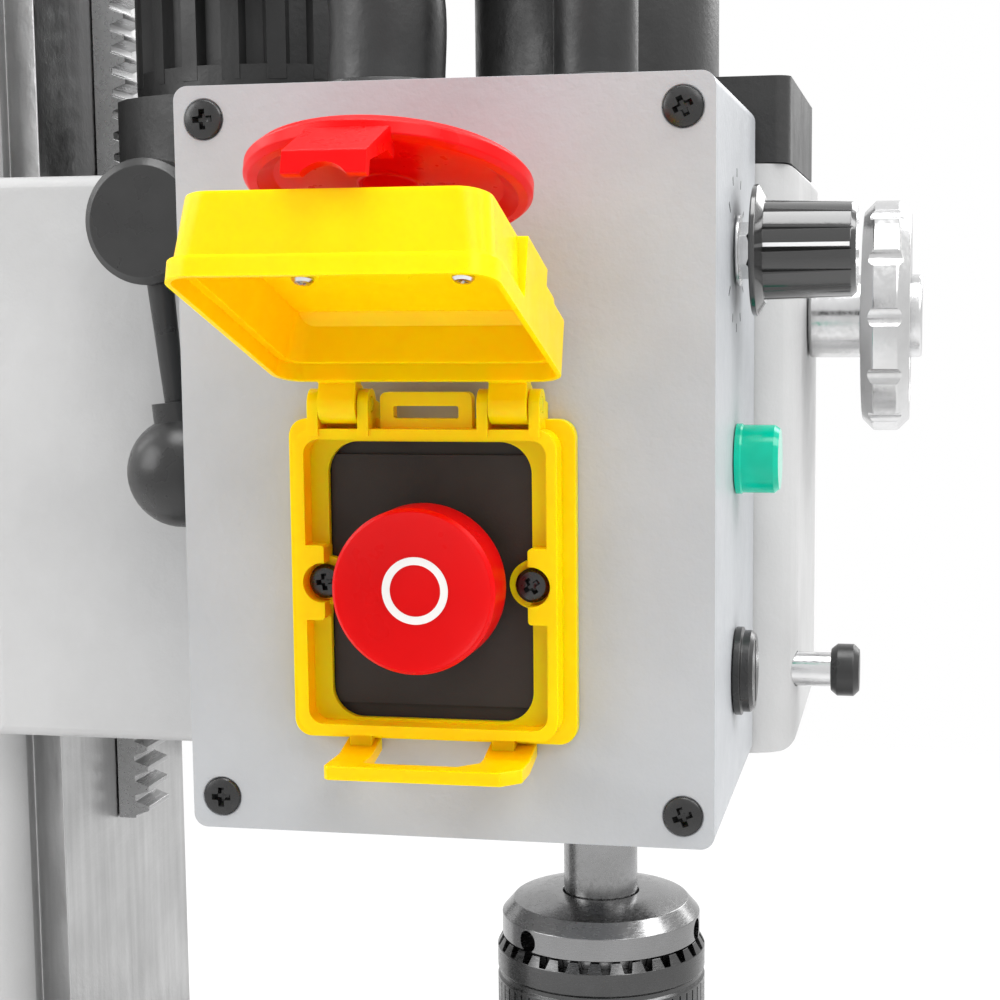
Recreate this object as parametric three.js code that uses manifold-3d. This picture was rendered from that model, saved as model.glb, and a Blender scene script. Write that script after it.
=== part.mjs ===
// Bench mill drill: cast base with a cross slide table, dovetail column, and a head that carries the spindle,
// the belt drive and a control box with a lidded stop switch.
// Millimetres, +Z up. X runs to the operator's right and Y runs from the operator towards the column.
// The origin is on the underside of the base, straight below the spindle axis.

import * as THREE from 'three';
import { mergeVertices } from 'three/addons/utils/BufferGeometryUtils.js';
import Module from 'manifold-3d';

const wasm = await Module();
wasm.setup();

// Fits that every group shares
const gap = 0.3; // between pieces that seat or slide on each other
const overrun = 2; // how far a cut runs past the stock
const weld = 0.0001; // vertices closer than this are one

// Rounding steps, as counts
const arcSteps = 3;
const turnSteps = 24;
const fineSteps = 28;
const smallSteps = 12;
const holeSteps = 8;

// Base casting
const footWidth = 204;
const footThickness = 16;
const footCorner = 20;
const baseReach = 152;
const baseBackReach = 246;
const baseBodyFootWidth = 144;
const baseBodyTopWidth = 128;
const baseBodyTop = 58;
const baseBodyInset = 8;
const baseBodyCorner = 16;
const channelWidth = 26;
const channelDepth = 24;
const channelBack = 112;
const padWidth = 150;
const padFront = 140;
const pocketHeight = 34;
const pocketRows = 6;
const pocketWall = 11;
const holdDownRadius = 6;
const holdDownInset = 17;

// Dovetail slides
const slideHeight = 12;
const slideLean = 6.5; // how far a flank leans in over the slide height
const gibThickness = 4;
const yWayWidth = 92; // at its wide top
const xWayWidth = 70;
const headWayWidth = 92;

// Saddle and table
const saddleWidth = 124;
const saddleLength = 112;
const saddleHeight = 42; // from the base's flats to the table's flats
const saddleCorner = 6;
const nutWidth = 22;
const nutLength = 18;
const tableLength = 380;
const tableWidth = 94;
const tableThickness = 50;
const tableEdge = 3;
const slotWidth = 10;
const slotHeadWidth = 17;
const slotHeadHeight = 6.5;
const slotDepth = 15;
const slotPitch = 30;
const tunnelWidth = 25;
const tunnelHeight = 21;
const endPlateThickness = 9;
const endPlateWidth = 46;
const endPlateDrop = 12;

// Feed screws and handwheels
const screwRadius = 6;
const screwRunning = 0.5;
const journalRadius = 5;
const wheelRadius = 42;
const wheelRimWidth = 11;
const wheelHubRadius = 12;
const wheelHubLength = 34;
const dialRadius = 22;
const dialLength = 15;
const wheelWeb = 5;
const gripRadius = 8;
const gripLength = 46;
const gripStem = 10;
const bracketWidth = 48;
const bracketHeight = 40;
const bracketThickness = 11;

// Column and rack
const columnFace = 150; // front face of the dovetail, behind the spindle axis
const columnWidth = 104;
const columnDepth = 85;
const columnCorner = 9;
const columnTop = 640;
const columnFootWidth = 144;
const columnFootThickness = 22;
const columnFootBack = 6;
const columnWall = 12;
const columnCapHeight = 8;
const rackWidth = 16;
const rackThickness = 10;
const gearModule = 2;
const pinionTeeth = 12;
const rackTeeth = 46;
const rackBottom = 318;
const pressureAngle = Math.PI / 9;
const backlash = 0.35;
const flankSteps = 2;
const gearAddendumShare = 0.95;
const gearDedendumShare = 1.2;

// Head casting, measured from the middle height of the control box
const headHalfWidth = 50;
const headReach = 60.5;
const headDrop = 84;
const headRise = 70.7;
const headCorner = 13;
const headEdge = 4;
const yokeHalfWidth = 64; // the part that wraps the column dovetail
const yokeFront = 80;
const noseRadius = 41;
const noseLength = 13;
const workGap = 55; // chuck tip over table
const rackSlotHalfWidth = 10.5;

// Spindle, bearings and drive
const spindleRadius = 15;
const spindleNoseRadius = 24;
const spindleNoseLength = 20;
const arborRadius = 11;
const chuckDrop = 139; // from the box's middle down to the chuck's top
const bearingRadius = 31;
const bearingHeight = 16;
const spindleBoreRadius = 23;
const spindleTopRise = 118;
const drawbarRadius = 9;
const pulleyHeight = 13;
const spindlePulleyRadius = 34;
const motorPulleyRadius = 20;
const beltThickness = 2.4;
const beltWidth = 9;
const flangeHeight = 1.6;
const motorOffset = 95; // motor axis behind the spindle axis

// Belt housing, cap and motor
const housingHalfWidth = 48.5;
const housingReach = 58.2;
const housingHeight = 22;
const housingWall = 3;
const housingFrontCorner = 4;
const capRadius = 35;
const capHeight = 80;
const capWall = 3;
const motorRadius = 41;
const motorHeight = 96;
const motorFins = 20;
const motorFinDepth = 3;
const cowlRadius = 43;
const cowlHeight = 30;
const cowlWall = 2.4;
const terminalWidth = 15;
const terminalDepth = 36;
const terminalHeight = 44;
const terminalRise = 36;

// Chuck
const chuckRadius = 29.5;
const chuckDomeHeight = 6;
const chuckRingHeight = 7;
const chuckLength = 93;
const sleeveRadius = 31;
const sleeveHeight = 46;
const sleeveWall = 4;
const sleeveTeeth = 20;
const sleeveToothHeight = 2.5;
const sleeveFlutes = 24;
const sleeveFluteDepth = 0.8;
const chuckNoseRadius = 16;
const chuckNoseWall = 3;
const jawCount = 3;
const jawWidth = 6;
const jawDepth = 8;
const jawLength = 34;
const jawLean = Math.PI / 10;
const jawOpening = 4;
const jawShow = 10;

// Feed hub with spokes, on the right of the head
const feedRise = -18;
const feedShaftRadius = 8;
const feedHubRadius = 22;
const feedHubLength = 30;
const feedHubGap = 3;
const spokeCount = 3;
const spokeRadius = 5;
const spokeReach = 112;
const spokeLean = Math.PI / 12;
const spokeKnobRadius = 12;
const spokeKnobLength = 34;

// Fine feed wheel, small clamp screw and head lock lever
const fineRise = 31;
const fineShaftRadius = 6;
const fineHubRadius = 11.5;
const fineHubLength = 15;
const fineWheelRadius = 32;
const fineWheelWidth = 13;
const fineDish = 4;
const clampSide = 38;
const clampDrop = 63;
const clampPinRadius = 4.6;
const clampPinReach = 9;
const clampKnobRadius = 7;
const clampKnobLength = 7.5;
const clampDepth = 14;
const leverBack = 101.5;
const leverRise = 57;
const leverHubRadius = 16;
const leverStandoff = 12;
const leverHubLength = 15;
const leverBallBack = 95;
const leverBallDrop = 7;
const leverBallRadius = 14.5;
const leverRootRadius = 3.6;
const leverTipRadius = 2.7;
const leverShaftRadius = 6;

// Control box; its own axes are u along the cover, v up and w out of the cover
const boxWidth = 121;
const boxHeight = 168.5;
const boxCorner = 3.2;
const boxWall = 3;
const coverThickness = 2.6;
const plateStandoff = 143; // cover's face from the spindle axis
const boxBack = 11; // cover's middle behind the spindle axis
const bossRadius = 5.5;
const bossLength = 24;
const coverScrewInsetU = 7;
const coverScrewInsetV = 7.4;
const coverScrewRadius = 4.5;
const coverScrewShank = 2;
const coverScrewLength = 14;
const screwDome = 1;
const crossWidth = 1.3;
const crossLength = 5;
const crossDepth = 1.6;

// Switch on the cover
const switchU = -1.9;
const switchV = -25.1;
const screwSpacing = 46.8;
const screwToEdge = 6; // from a screw's axis to the side of the raised lip
const switchScrewShank = 1.6;
const lipWidth = screwSpacing + 2 * screwToEdge;
const lipTall = 68;
const flangeLedge = 3; // the flange's width beside the lip
const flangeWidth = lipWidth + 2 * flangeLedge;
const flangeTall = 71.8;
const flangeCorner = 4;
const flangeThickness = 3.2;
const lipCorner = 4.5;
const lipWall = 2.3;
const lipHeight = 9.5;
const windowMargin = 6.4; // from the lip's side to the window
const windowWidth = lipWidth - 2 * windowMargin;
const windowTall = 62;
const windowCorner = 7;
const switchPlateThickness = 1.4;
const switchPlateStep = 0.9;
const switchPlateBand = 3;
const switchCutWidth = screwSpacing + 2 * switchScrewShank;
const switchCutTall = 52;
const switchBodyDepth = 36;
const switchRearMargin = 1.85; // between the body's rear part and its screws
const screwPadRadius = 5.4;
const screwPadHeight = 5.2;
const switchScrewRadius = 3.8;
const switchScrewHead = 2.4;
const switchScrewLength = 12;
const bossReach = 4.2;
const bossTall = 16.6;
const handleWidth = 20.6;
const handleTall = 6;
const handleBar = 3;
const handleThickness = 3;
const catchLeft = 20.6; // from the switch's middle to the loop's left side
const catchRight = 22.9;
const catchLegLeft = 7.7;
const catchLegRight = 10.5;
const catchBar = 4.4;
const catchThickness = 3.1;
const catchDrop = 2.5; // the loop's top below the flange
const catchReach = 21;
const catchCorner = 4;
const catchRootWidth = 5;
const catchRootInset = 1.2; // from a leg's inner side to its root
const catchRootReach = 5; // the root's front, out of the cover

// Stop button
const buttonRadius = 18;
const buttonFront = 20.3;
const buttonRear = 8;
const buttonDish = 2.6;
const buttonEdge = 0.8;
const buttonStemRadius = 13;
const ringOuterRadius = 7.3;
const ringInnerRadius = 5.6;
const ringHeight = 0.3;
const stopTravel = 2.5;
const buttonSink = 6.5; // how far its stem reaches behind its rear edge

// Lid, drawn closed; s runs from the hinge to the latch edge and h runs outwards from the hinge axis
const hingeV = 39.3; // above the switch's middle
const hingeW = 6.6;
const openAngle = (108 * Math.PI) / 180;
const pinRadius = 1.5;
const earThickness = 2.4;
const earReach = 3.4;
const armWidth = 8.4;
const armSpacing = 38;
const armRound = 4.4; // radius of an arm's end round the hinge axis
const lidOverlap = 2.4; // the rim beside the base's lip
const lidDraft = 2.3; // how far each side leans in
const lidWidth = lipWidth + 2 * lidOverlap;
const lidTopWidth = lidWidth - 2 * lidDraft;
const lidStart = 5.4;
const lidEnd = hingeV + flangeTall / 2 + catchDrop - gap; // it shuts just over the catch loop
const lidEndDraft = 0.4;
const lidTopStart = lidStart + lidEndDraft;
const lidTopEnd = lidEnd - lidEndDraft;
const lidRim = 3.5;
const lidRimBand = 4;
const lidFace = 20;
const lidWall = 2.2;
const lidRimWall = 1.1; // the band's wall, thinner than the rest, so that a step runs round inside
const lidFaceWall = 2.2;
const lidCorner = 6;
const lugStart = 31; // the upright pad on each side, from the hinge axis
const lugEnd = 51;
const stemRadius = 6;
const stemHoleRadius = 7;
const mushroomRadius = 29.2;
const mushroomGap = 13.4; // rim of the mushroom over the lid's face
const mushroomRim = 5;
const mushroomCrown = 9;
const mushroomWall = 3;
const mushroomTravel = 4;
const tongueWidth = 16;
const tongueWall = 2.4;
const tongueHang = 1.6; // between the lid's end and the tongue
const tongueLow = 1.2; // its lower edge over the lid's face
const tongueFront = 4.5; // height of its upright front
const tongueTop = 3; // the level stretch beside the rim
const tongueArchRadius = 5.5;
const tongueArchDrop = 3.3; // the arch's centre below the lower edge

// Controls on the box's narrow side, by height and by depth behind the cover
const controlDepth = 45;
const knobHeight = 47.5;
const lampHeight = -1.4;
const fuseHeight = -52.5;
const knobRadius = 11.6;
const knobTipRadius = 11;
const knobFluteCount = 14;
const knobFluteDepth = 0.7;
const knobLength = 22.4;
const knobStart = 5.6;
const skirtRadius = 15.3;
const skirtThickness = 1.6;
const knobBevel = 1;
const potRadius = 8.5;
const potLength = 10;
const potBushRadius = 3.5;
const potNutRadius = 6.4;
const potNutThickness = 3;
const knobShaftRadius = 2.2;
const lensRadius = 8.4;
const lensLength = 10.2;
const lensWall = 1.4;
const lampBodyRadius = 6;
const lampBodyLength = 26;
const lampBezel = 1.4;
const fuseRadius = 10.6;
const fuseLength = 4.6;
const fuseBodyRadius = 7.5;
const fuseBodyLength = 34;
const fuseSlotWidth = 2;
const fuseSlotDepth = 1.4;

// Board inside the box
const boardWidth = 92;
const boardTall = 132;
const boardThickness = 1.6;
const boardStandoff = 8;
const boardPostRadius = 3;
const sinkWidth = 60;
const sinkTall = 40;
const sinkHeight = 22;

// Conduits out of the top of the box
const conduitDepth = 45;
const motorConduitU = -23.7;
const motorConduitRadius = 14;
const sensorConduitU = 27.2;
const sensorConduitRadius = 10;
const conduitNutHeight = 4;
const conduitNutLip = 2.2;
const conduitSides = 12;
const conduitSteps = 14;

// Heights and places that follow from the sizes above
const wayFloor = baseBodyTop;
const yWayTop = wayFloor + slideHeight;
const tableFloor = wayFloor + saddleHeight + gap;
const xWayTop = tableFloor + slideHeight;
const tableTop = tableFloor + gap + tableThickness;
const yScrewHeight = yWayTop - channelDepth / 2;
const xScrewHeight = tableFloor + slideHeight + 2 * gap + tunnelHeight / 2;
const chuckTip = tableTop + workGap;
const boxMiddle = chuckTip + chuckLength + chuckDrop;
const columnBack = columnFace + slideHeight + columnDepth;
const pitchRadius = (gearModule * pinionTeeth) / 2;
const toothPitch = Math.PI * gearModule;
const rackPitchLine = columnFace - gap - rackThickness + gearModule * gearAddendumShare;
const pinionBack = rackPitchLine - pitchRadius - gap / 2;

// Shapes

// A closed outline; its points run anticlockwise, whichever way they are given, so that holes face right
function polygon(points) {
  const corners = points.map(([a, b]) => new THREE.Vector2(a, b));
  if (THREE.ShapeUtils.isClockWise(corners)) corners.reverse();
  return new THREE.Shape(corners);
}

function roundedRect(a0, a1, b0, b1, radius) {
  const shape = new THREE.Shape();
  const quarter = Math.PI / 2;
  shape.moveTo(a0 + radius, b0);
  shape.lineTo(a1 - radius, b0);
  shape.absarc(a1 - radius, b0 + radius, radius, -quarter, 0, false);
  shape.lineTo(a1, b1 - radius);
  shape.absarc(a1 - radius, b1 - radius, radius, 0, quarter, false);
  shape.lineTo(a0 + radius, b1);
  shape.absarc(a0 + radius, b1 - radius, radius, quarter, Math.PI, false);
  shape.lineTo(a0, b0 + radius);
  shape.absarc(a0 + radius, b0 + radius, radius, Math.PI, 3 * quarter, false);
  return shape;
}

function rectAbout(a, b, width, tall, radius) {
  return roundedRect(a - width / 2, a + width / 2, b - tall / 2, b + tall / 2, radius);
}

// Points of a circle, or of an arc with both its ends
function arcPoints(a, b, radius, from, to, steps) {
  const points = [];
  for (let i = 0; i <= steps; i += 1) {
    const angle = from + ((to - from) * i) / steps;
    points.push([a + radius * Math.cos(angle), b + radius * Math.sin(angle)]);
  }
  return points;
}

function disc(a, b, radius, steps) {
  return polygon(arcPoints(a, b, radius, 0, 2 * Math.PI, steps).slice(1));
}

// Extrusions. The shape's own axes are (y, z), (x, z) and (x, y) for runs along x, y and z.

function extrude(shape, length) {
  return new THREE.ExtrudeGeometry(shape, { depth: length, bevelEnabled: false, curveSegments: arcSteps });
}

function placed(geometry, xAxis, yAxis, zAxis, origin) {
  const matrix = new THREE.Matrix4().makeBasis(
    new THREE.Vector3(...xAxis),
    new THREE.Vector3(...yAxis),
    new THREE.Vector3(...zAxis),
  );
  matrix.setPosition(...origin);
  return geometry.applyMatrix4(matrix);
}

function alongX(shape, x0, x1) {
  return placed(extrude(shape, x1 - x0), [0, 1, 0], [0, 0, 1], [1, 0, 0], [x0, 0, 0]);
}

function alongY(shape, y0, y1) {
  return placed(extrude(shape, y1 - y0), [1, 0, 0], [0, 0, 1], [0, -1, 0], [0, y1, 0]);
}

function alongZ(shape, z0, z1) {
  return extrude(shape, z1 - z0).translate(0, 0, z0);
}

function block(x0, x1, y0, y1, z0, z1) {
  const geometry = new THREE.BoxGeometry(x1 - x0, y1 - y0, z1 - z0);
  return geometry.translate((x0 + x1) / 2, (y0 + y1) / 2, (z0 + z1) / 2);
}

// Turned pieces: profile points are [radius, distance along the axis]

function turned(profile, steps) {
  const points = profile.map(([radius, along]) => new THREE.Vector2(radius, along));
  return new THREE.LatheGeometry(points, steps);
}

function turnedZ(profile, steps = turnSteps) {
  return turned(profile, steps).rotateX(Math.PI / 2);
}

function turnedX(profile, steps = turnSteps) {
  return turned(profile, steps).rotateZ(-Math.PI / 2);
}

function turnedY(profile, steps = turnSteps) {
  return turned(profile, steps);
}

function rodProfile(radius, from, to) {
  return [[0, from], [radius, from], [radius, to], [0, to]];
}

function ringProfile(inner, outer, from, to) {
  return [[inner, from], [outer, from], [outer, to], [inner, to], [inner, from]];
}

// Booleans

function asSolid(geometry) {
  const source = geometry.clone();
  source.deleteAttribute('normal');
  source.deleteAttribute('uv');
  const merged = mergeVertices(source, weld);
  const position = merged.attributes.position.array;
  const index = merged.index.array;
  const kept = [];
  for (let i = 0; i < index.length; i += 3) {
    const [a, b, c] = [index[i], index[i + 1], index[i + 2]];
    if (a !== b && b !== c && c !== a) kept.push(a, b, c);
  }
  if (signedVolume(position, kept) < 0) kept.reverse();
  return new wasm.Manifold(
    new wasm.Mesh({
      numProp: 3,
      vertProperties: Float32Array.from(position),
      triVerts: Uint32Array.from(kept),
    }),
  );
}

function signedVolume(position, index) {
  const corner = (k) => new THREE.Vector3().fromArray(position, index[k] * 3);
  let sum = 0;
  for (let i = 0; i < index.length; i += 3) {
    sum += corner(i).dot(corner(i + 1).cross(corner(i + 2)));
  }
  return sum;
}

function asGeometry(solid) {
  const mesh = solid.getMesh();
  const geometry = new THREE.BufferGeometry();
  geometry.setAttribute('position', new THREE.Float32BufferAttribute(mesh.vertProperties, 3));
  geometry.setIndex(Array.from(mesh.triVerts));
  return geometry;
}

function joined(first, ...others) {
  return asGeometry(others.reduce((sum, other) => sum.add(asSolid(other)), asSolid(first)));
}

function cut(first, ...tools) {
  return asGeometry(tools.reduce((rest, tool) => rest.subtract(asSolid(tool)), asSolid(first)));
}

function common(first, ...others) {
  return asGeometry(others.reduce((sum, other) => sum.intersect(asSolid(other)), asSolid(first)));
}

// Finishes

function finish(color, roughness, metalness) {
  return new THREE.MeshStandardMaterial({ color, roughness, metalness });
}

const castGrey = finish(0xa9abad, 0.45, 0.1);
const boxGrey = finish(0xc6c7c9, 0.4, 0.1);
const blackPaint = finish(0x1b1b1c, 0.4, 0.1);
const blackPlastic = finish(0x161616, 0.35, 0);
const yellowPlastic = finish(0xffc800, 0.3, 0);
const redPlastic = finish(0xd80a0a, 0.25, 0);
const greenLens = finish(0x00b488, 0.15, 0);
const brightSteel = finish(0xc4c6c8, 0.25, 1);
const darkSteel = finish(0x2b2c2e, 0.35, 0.8);
const groundIron = finish(0x9a9c9e, 0.35, 0.8);
const rubberBlack = finish(0x1a1a1a, 0.8, 0);
const boardGreen = finish(0x1f5a35, 0.6, 0);

// Every mesh goes through the solid form, which turns its faces outwards
function part(group, name, geometry, material) {
  const flat = asGeometry(asSolid(geometry)).toNonIndexed();
  flat.computeVertexNormals();
  const mesh = new THREE.Mesh(flat, material);
  mesh.name = name;
  group.add(mesh);
  return mesh;
}

// Half the width of a dovetail at some level; the widest level is its top
function flankAt(topWidth, top, level) {
  return topWidth / 2 - (slideLean / slideHeight) * Math.abs(top - level);
}

// A dovetail that widens away from its root, as [across, up] points
function dovetail(topWidth, root, top) {
  const neck = flankAt(topWidth, top, root);
  const half = topWidth / 2;
  return [[-neck, root], [neck, root], [half, top], [-half, top]];
}

// The matching slot, with running clearance and room for a gib on the side where side is 1 or -1
function dovetailSlot(topWidth, root, top, side) {
  const mouth = flankAt(topWidth, top, root - overrun) + gap;
  const half = topWidth / 2 + gap;
  const room = gibThickness + gap;
  const left = side < 0 ? room : 0;
  const right = side > 0 ? room : 0;
  return [
    [-mouth - left, root - overrun], [mouth + right, root - overrun],
    [half + right, top + gap], [-half - left, top + gap],
  ];
}

// The gib that fills that room
function gibStrip(topWidth, root, top, side) {
  const low = flankAt(topWidth, top, root) + gap;
  const high = topWidth / 2 + gap;
  const points = [[low, root], [low + gibThickness, root], [high + gibThickness, top], [high, top]];
  return points.map(([across, up]) => [side * across, up]);
}

// Base casting with its two way

function makeBase() {
  const foot = alongZ(
    roundedRect(-footWidth / 2, footWidth / 2, -baseReach, baseBackReach, footCorner),
    0,
    footThickness,
  );
  const bodySection = polygon([
    [-baseBodyFootWidth / 2, footThickness / 2],
    [baseBodyFootWidth / 2, footThickness / 2],
    [baseBodyTopWidth / 2, baseBodyTop],
    [-baseBodyTopWidth / 2, baseBodyTop],
  ]);
  const bodyPlan = roundedRect(
    -baseBodyFootWidth / 2,
    baseBodyFootWidth / 2,
    -baseReach,
    baseBackReach - baseBodyInset,
    baseBodyCorner,
  );
  const body = common(
    alongY(bodySection, -baseReach, baseBackReach - baseBodyInset),
    alongZ(bodyPlan, 0, baseBodyTop),
  );
  const way = alongY(polygon(dovetail(yWayWidth, baseBodyTop - gap, yWayTop)), -baseReach, channelBack);
  const pad = alongZ(
    rectAbout(0, (padFront + baseBackReach - baseBodyInset) / 2, padWidth,
      baseBackReach - baseBodyInset - padFront, baseBodyCorner / 2),
    footThickness / 2,
    yWayTop,
  );
  const channel = block(
    -channelWidth / 2,
    channelWidth / 2,
    -baseReach - overrun,
    channelBack - pocketWall,
    yWayTop - channelDepth,
    yWayTop + overrun,
  );
  return cut(joined(foot, body, way, pad), channel, ...basePockets(), ...holdDownHoles());
}

function basePockets() {
  const pockets = [];
  const rowLength = (baseReach + baseBackReach - pocketWall) / pocketRows;
  const halfWidth = baseBodyFootWidth / 2 - pocketWall;
  for (let row = 0; row < pocketRows; row += 1) {
    const y0 = -baseReach + pocketWall + row * rowLength;
    const y1 = y0 + rowLength - pocketWall;
    for (const side of [-1, 1]) {
      const near = (side * pocketWall) / 2;
      const far = side * halfWidth;
      pockets.push(block(Math.min(near, far), Math.max(near, far), y0, y1, -overrun, pocketHeight));
    }
  }
  return pockets;
}

function holdDownHoles() {
  const holes = [];
  for (const x of [-footWidth / 2 + holdDownInset, footWidth / 2 - holdDownInset]) {
    for (const y of [-baseReach + 2 * holdDownInset, baseBackReach - 2 * holdDownInset]) {
      holes.push(alongZ(disc(x, y, holdDownRadius, smallSteps), -overrun, footThickness + overrun));
    }
  }
  return holes;
}

// Column with its front dovetail

function makeColumn() {
  const body = alongZ(
    roundedRect(-columnWidth / 2, columnWidth / 2, columnFace + slideHeight, columnBack, columnCorner),
    yWayTop + gap,
    columnTop,
  );
  const root = columnFace + slideHeight;
  const neck = headWayWidth / 2 - slideLean;
  const [leftRoot, rightRoot, ...face] = dovetail(headWayWidth, root, columnFace);
  const way = alongZ(
    polygon([
      [-neck, root + columnCorner], leftRoot, ...face.reverse(), rightRoot, [neck, root + columnCorner],
    ]),
    yWayTop + gap + columnFootThickness / 2,
    columnTop,
  );
  const foot = alongZ(
    rectAbout(0, (columnFace + columnBack - columnFootBack) / 2, columnFootWidth,
      columnBack - columnFace - columnFootBack, columnCorner),
    yWayTop + gap,
    yWayTop + gap + columnFootThickness,
  );
  const inside = block(-columnWidth / 2 + columnWall, columnWidth / 2 - columnWall,
    columnFace + slideHeight + columnWall, columnBack - columnWall, yWayTop - overrun, columnTop + overrun);
  return cut(joined(body, way, foot), inside);
}

function makeColumnCap() {
  const bottom = columnTop + gap;
  return alongZ(
    roundedRect(-columnWidth / 2, columnWidth / 2, columnFace + slideHeight, columnBack, columnCorner),
    bottom,
    bottom + columnCapHeight,
  );
}

// Rack and pinion with the same tooth

const toothTop = gearModule * gearAddendumShare;
const toothRoot = gearModule * gearDedendumShare;
const toothHalf = toothPitch / 4 - backlash / 2;

function makeRack() {
  const face = columnFace - gap;
  const tip = rackPitchLine - toothTop;
  const root = rackPitchLine + toothRoot;
  const tipHalf = toothHalf - toothTop * Math.tan(pressureAngle);
  const rootHalf = toothHalf + toothRoot * Math.tan(pressureAngle);
  const bottom = rackStart();
  const points = [[face, bottom], [face, bottom + rackTeeth * toothPitch]];
  for (let i = rackTeeth - 1; i >= 0; i -= 1) {
    const middle = bottom + (i + 0.5) * toothPitch;
    points.push([root, middle + rootHalf], [tip, middle + tipHalf]);
    points.push([tip, middle - tipHalf], [root, middle - rootHalf]);
  }
  return alongX(polygon(withEnds(points, root, bottom)), -rackWidth / 2, rackWidth / 2);
}

// The rack's end faces, squared off at root depth
function withEnds(points, root, bottom) {
  const [lower, upper, ...teeth] = points;
  return [lower, [root, bottom], ...teeth.reverse(), [root, upper[1]], upper];
}

// A tooth centre of the rack lies at the pinion's height, where the pinion has a gap
function rackStart() {
  const wanted = boxMiddle + feedRise;
  const count = Math.round((wanted - rackBottom) / toothPitch - 0.5);
  return wanted - (count + 0.5) * toothPitch;
}

function pinionOutline() {
  const baseRadius = pitchRadius * Math.cos(pressureAngle);
  const tip = pitchRadius + toothTop;
  const root = pitchRadius - toothRoot;
  const involute = (radius) => {
    const angle = Math.acos(Math.min(1, baseRadius / radius));
    return Math.tan(angle) - angle;
  };
  const halfAtPitch = toothHalf / pitchRadius;
  const start = Math.max(root, baseRadius);
  const points = [];
  for (let tooth = 0; tooth < pinionTeeth; tooth += 1) {
    const middle = ((tooth + 0.5) * 2 * Math.PI) / pinionTeeth;
    const flank = [];
    for (let i = 0; i <= flankSteps; i += 1) {
      const radius = start + ((tip - start) * i) / flankSteps;
      const half = halfAtPitch + involute(pitchRadius) - involute(radius);
      flank.push([radius, half]);
    }
    points.push([root, middle - flank[0][1]]);
    flank.forEach(([radius, half]) => points.push([radius, middle - half]));
    flank.reverse().forEach(([radius, half]) => points.push([radius, middle + half]));
    points.push([root, middle + flank[flankSteps][1]]);
  }
  return points.map(([radius, angle]) => [radius * Math.cos(angle), radius * Math.sin(angle)]);
}

// Saddle: slides on the base, carries the table's dovetail and holds the front screw's nut

function makeSaddle() {
  const halfX = saddleWidth / 2;
  const halfY = saddleLength / 2;
  const body = alongZ(
    roundedRect(-halfX, halfX, -halfY, halfY, saddleCorner),
    wayFloor + gap,
    tableFloor,
  );
  const way = alongX(polygon(dovetail(xWayWidth, tableFloor - gap, xWayTop)), -halfX, halfX);
  const slot = alongY(polygon(dovetailSlot(yWayWidth, wayFloor + gap, yWayTop, 1)),
    -halfY - overrun, halfY + overrun);
  const yNut = block(-nutWidth / 2, nutWidth / 2, -nutLength / 2, nutLength / 2,
    yWayTop - channelDepth + 2 * gap, yWayTop + overrun);
  const yBore = turnedY(rodProfile(screwRadius + screwRunning, -saddleLength, saddleLength), smallSteps)
    .translate(0, 0, yScrewHeight);
  const xNut = block(-nutLength / 2, nutLength / 2, -nutWidth / 2, nutWidth / 2,
    xWayTop - overrun, xScrewHeight + tunnelHeight / 2 - 2 * gap);
  const xBore = turnedX(rodProfile(screwRadius + screwRunning, -saddleLength, saddleLength), smallSteps)
    .translate(0, 0, xScrewHeight);
  return cut(joined(cut(joined(body, way), slot), yNut, xNut), yBore, xBore);
}

function makeSaddleGib() {
  const half = saddleLength / 2;
  return alongY(polygon(gibStrip(yWayWidth, wayFloor + gap, yWayTop, 1)), -half, half);
}

// Table with three T slots, the screw's tunnel and the dovetail slot below

function makeTable() {
  const half = tableLength / 2;
  const floor = tableFloor + gap;
  const body = alongX(roundedRect(-tableWidth / 2, tableWidth / 2, floor, tableTop, tableEdge), -half, half);
  const slot = alongX(polygon(dovetailSlot(xWayWidth, floor, xWayTop, -1)),
    -half - overrun, half + overrun);
  const tunnel = block(-half - overrun, half + overrun, -tunnelWidth / 2, tunnelWidth / 2,
    xWayTop, xScrewHeight + tunnelHeight / 2);
  const slots = [-1, 0, 1].map((row) => alongX(polygon(slotSection(row * slotPitch)),
    -half - overrun, half + overrun));
  return cut(body, slot, tunnel, ...slots);
}

function slotSection(middle) {
  const neck = slotWidth / 2;
  const head = slotHeadWidth / 2;
  const bottom = tableTop - slotDepth;
  const shoulder = bottom + slotHeadHeight;
  return [
    [middle - head, bottom], [middle + head, bottom], [middle + head, shoulder], [middle + neck, shoulder],
    [middle + neck, tableTop + overrun], [middle - neck, tableTop + overrun],
    [middle - neck, shoulder], [middle - head, shoulder],
  ];
}

function makeTableGib() {
  const half = tableLength / 2 - overrun;
  const floor = tableFloor + gap;
  return alongX(polygon(gibStrip(xWayWidth, floor, xWayTop, -1)), -half, half);
}

function makeEndPlate(side) {
  const near = side * (tableLength / 2 + gap);
  const far = near + side * endPlateThickness;
  const low = xScrewHeight - tunnelHeight / 2 - endPlateDrop;
  const high = tableTop - slotDepth - tableEdge;
  const shape = roundedRect(-endPlateWidth / 2, endPlateWidth / 2, low, high, tableEdge);
  shape.holes.push(disc(0, xScrewHeight, journalRadius + gap, smallSteps));
  return alongX(shape, Math.min(near, far), Math.max(near, far));
}

// Feed screws and handwheels

function screwProfile(from, to, journalFrom, journalTo) {
  return [
    [0, journalFrom], [journalRadius, journalFrom], [journalRadius, from], [screwRadius, from],
    [screwRadius, to], [journalRadius, to], [journalRadius, journalTo], [0, journalTo],
  ];
}

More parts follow.
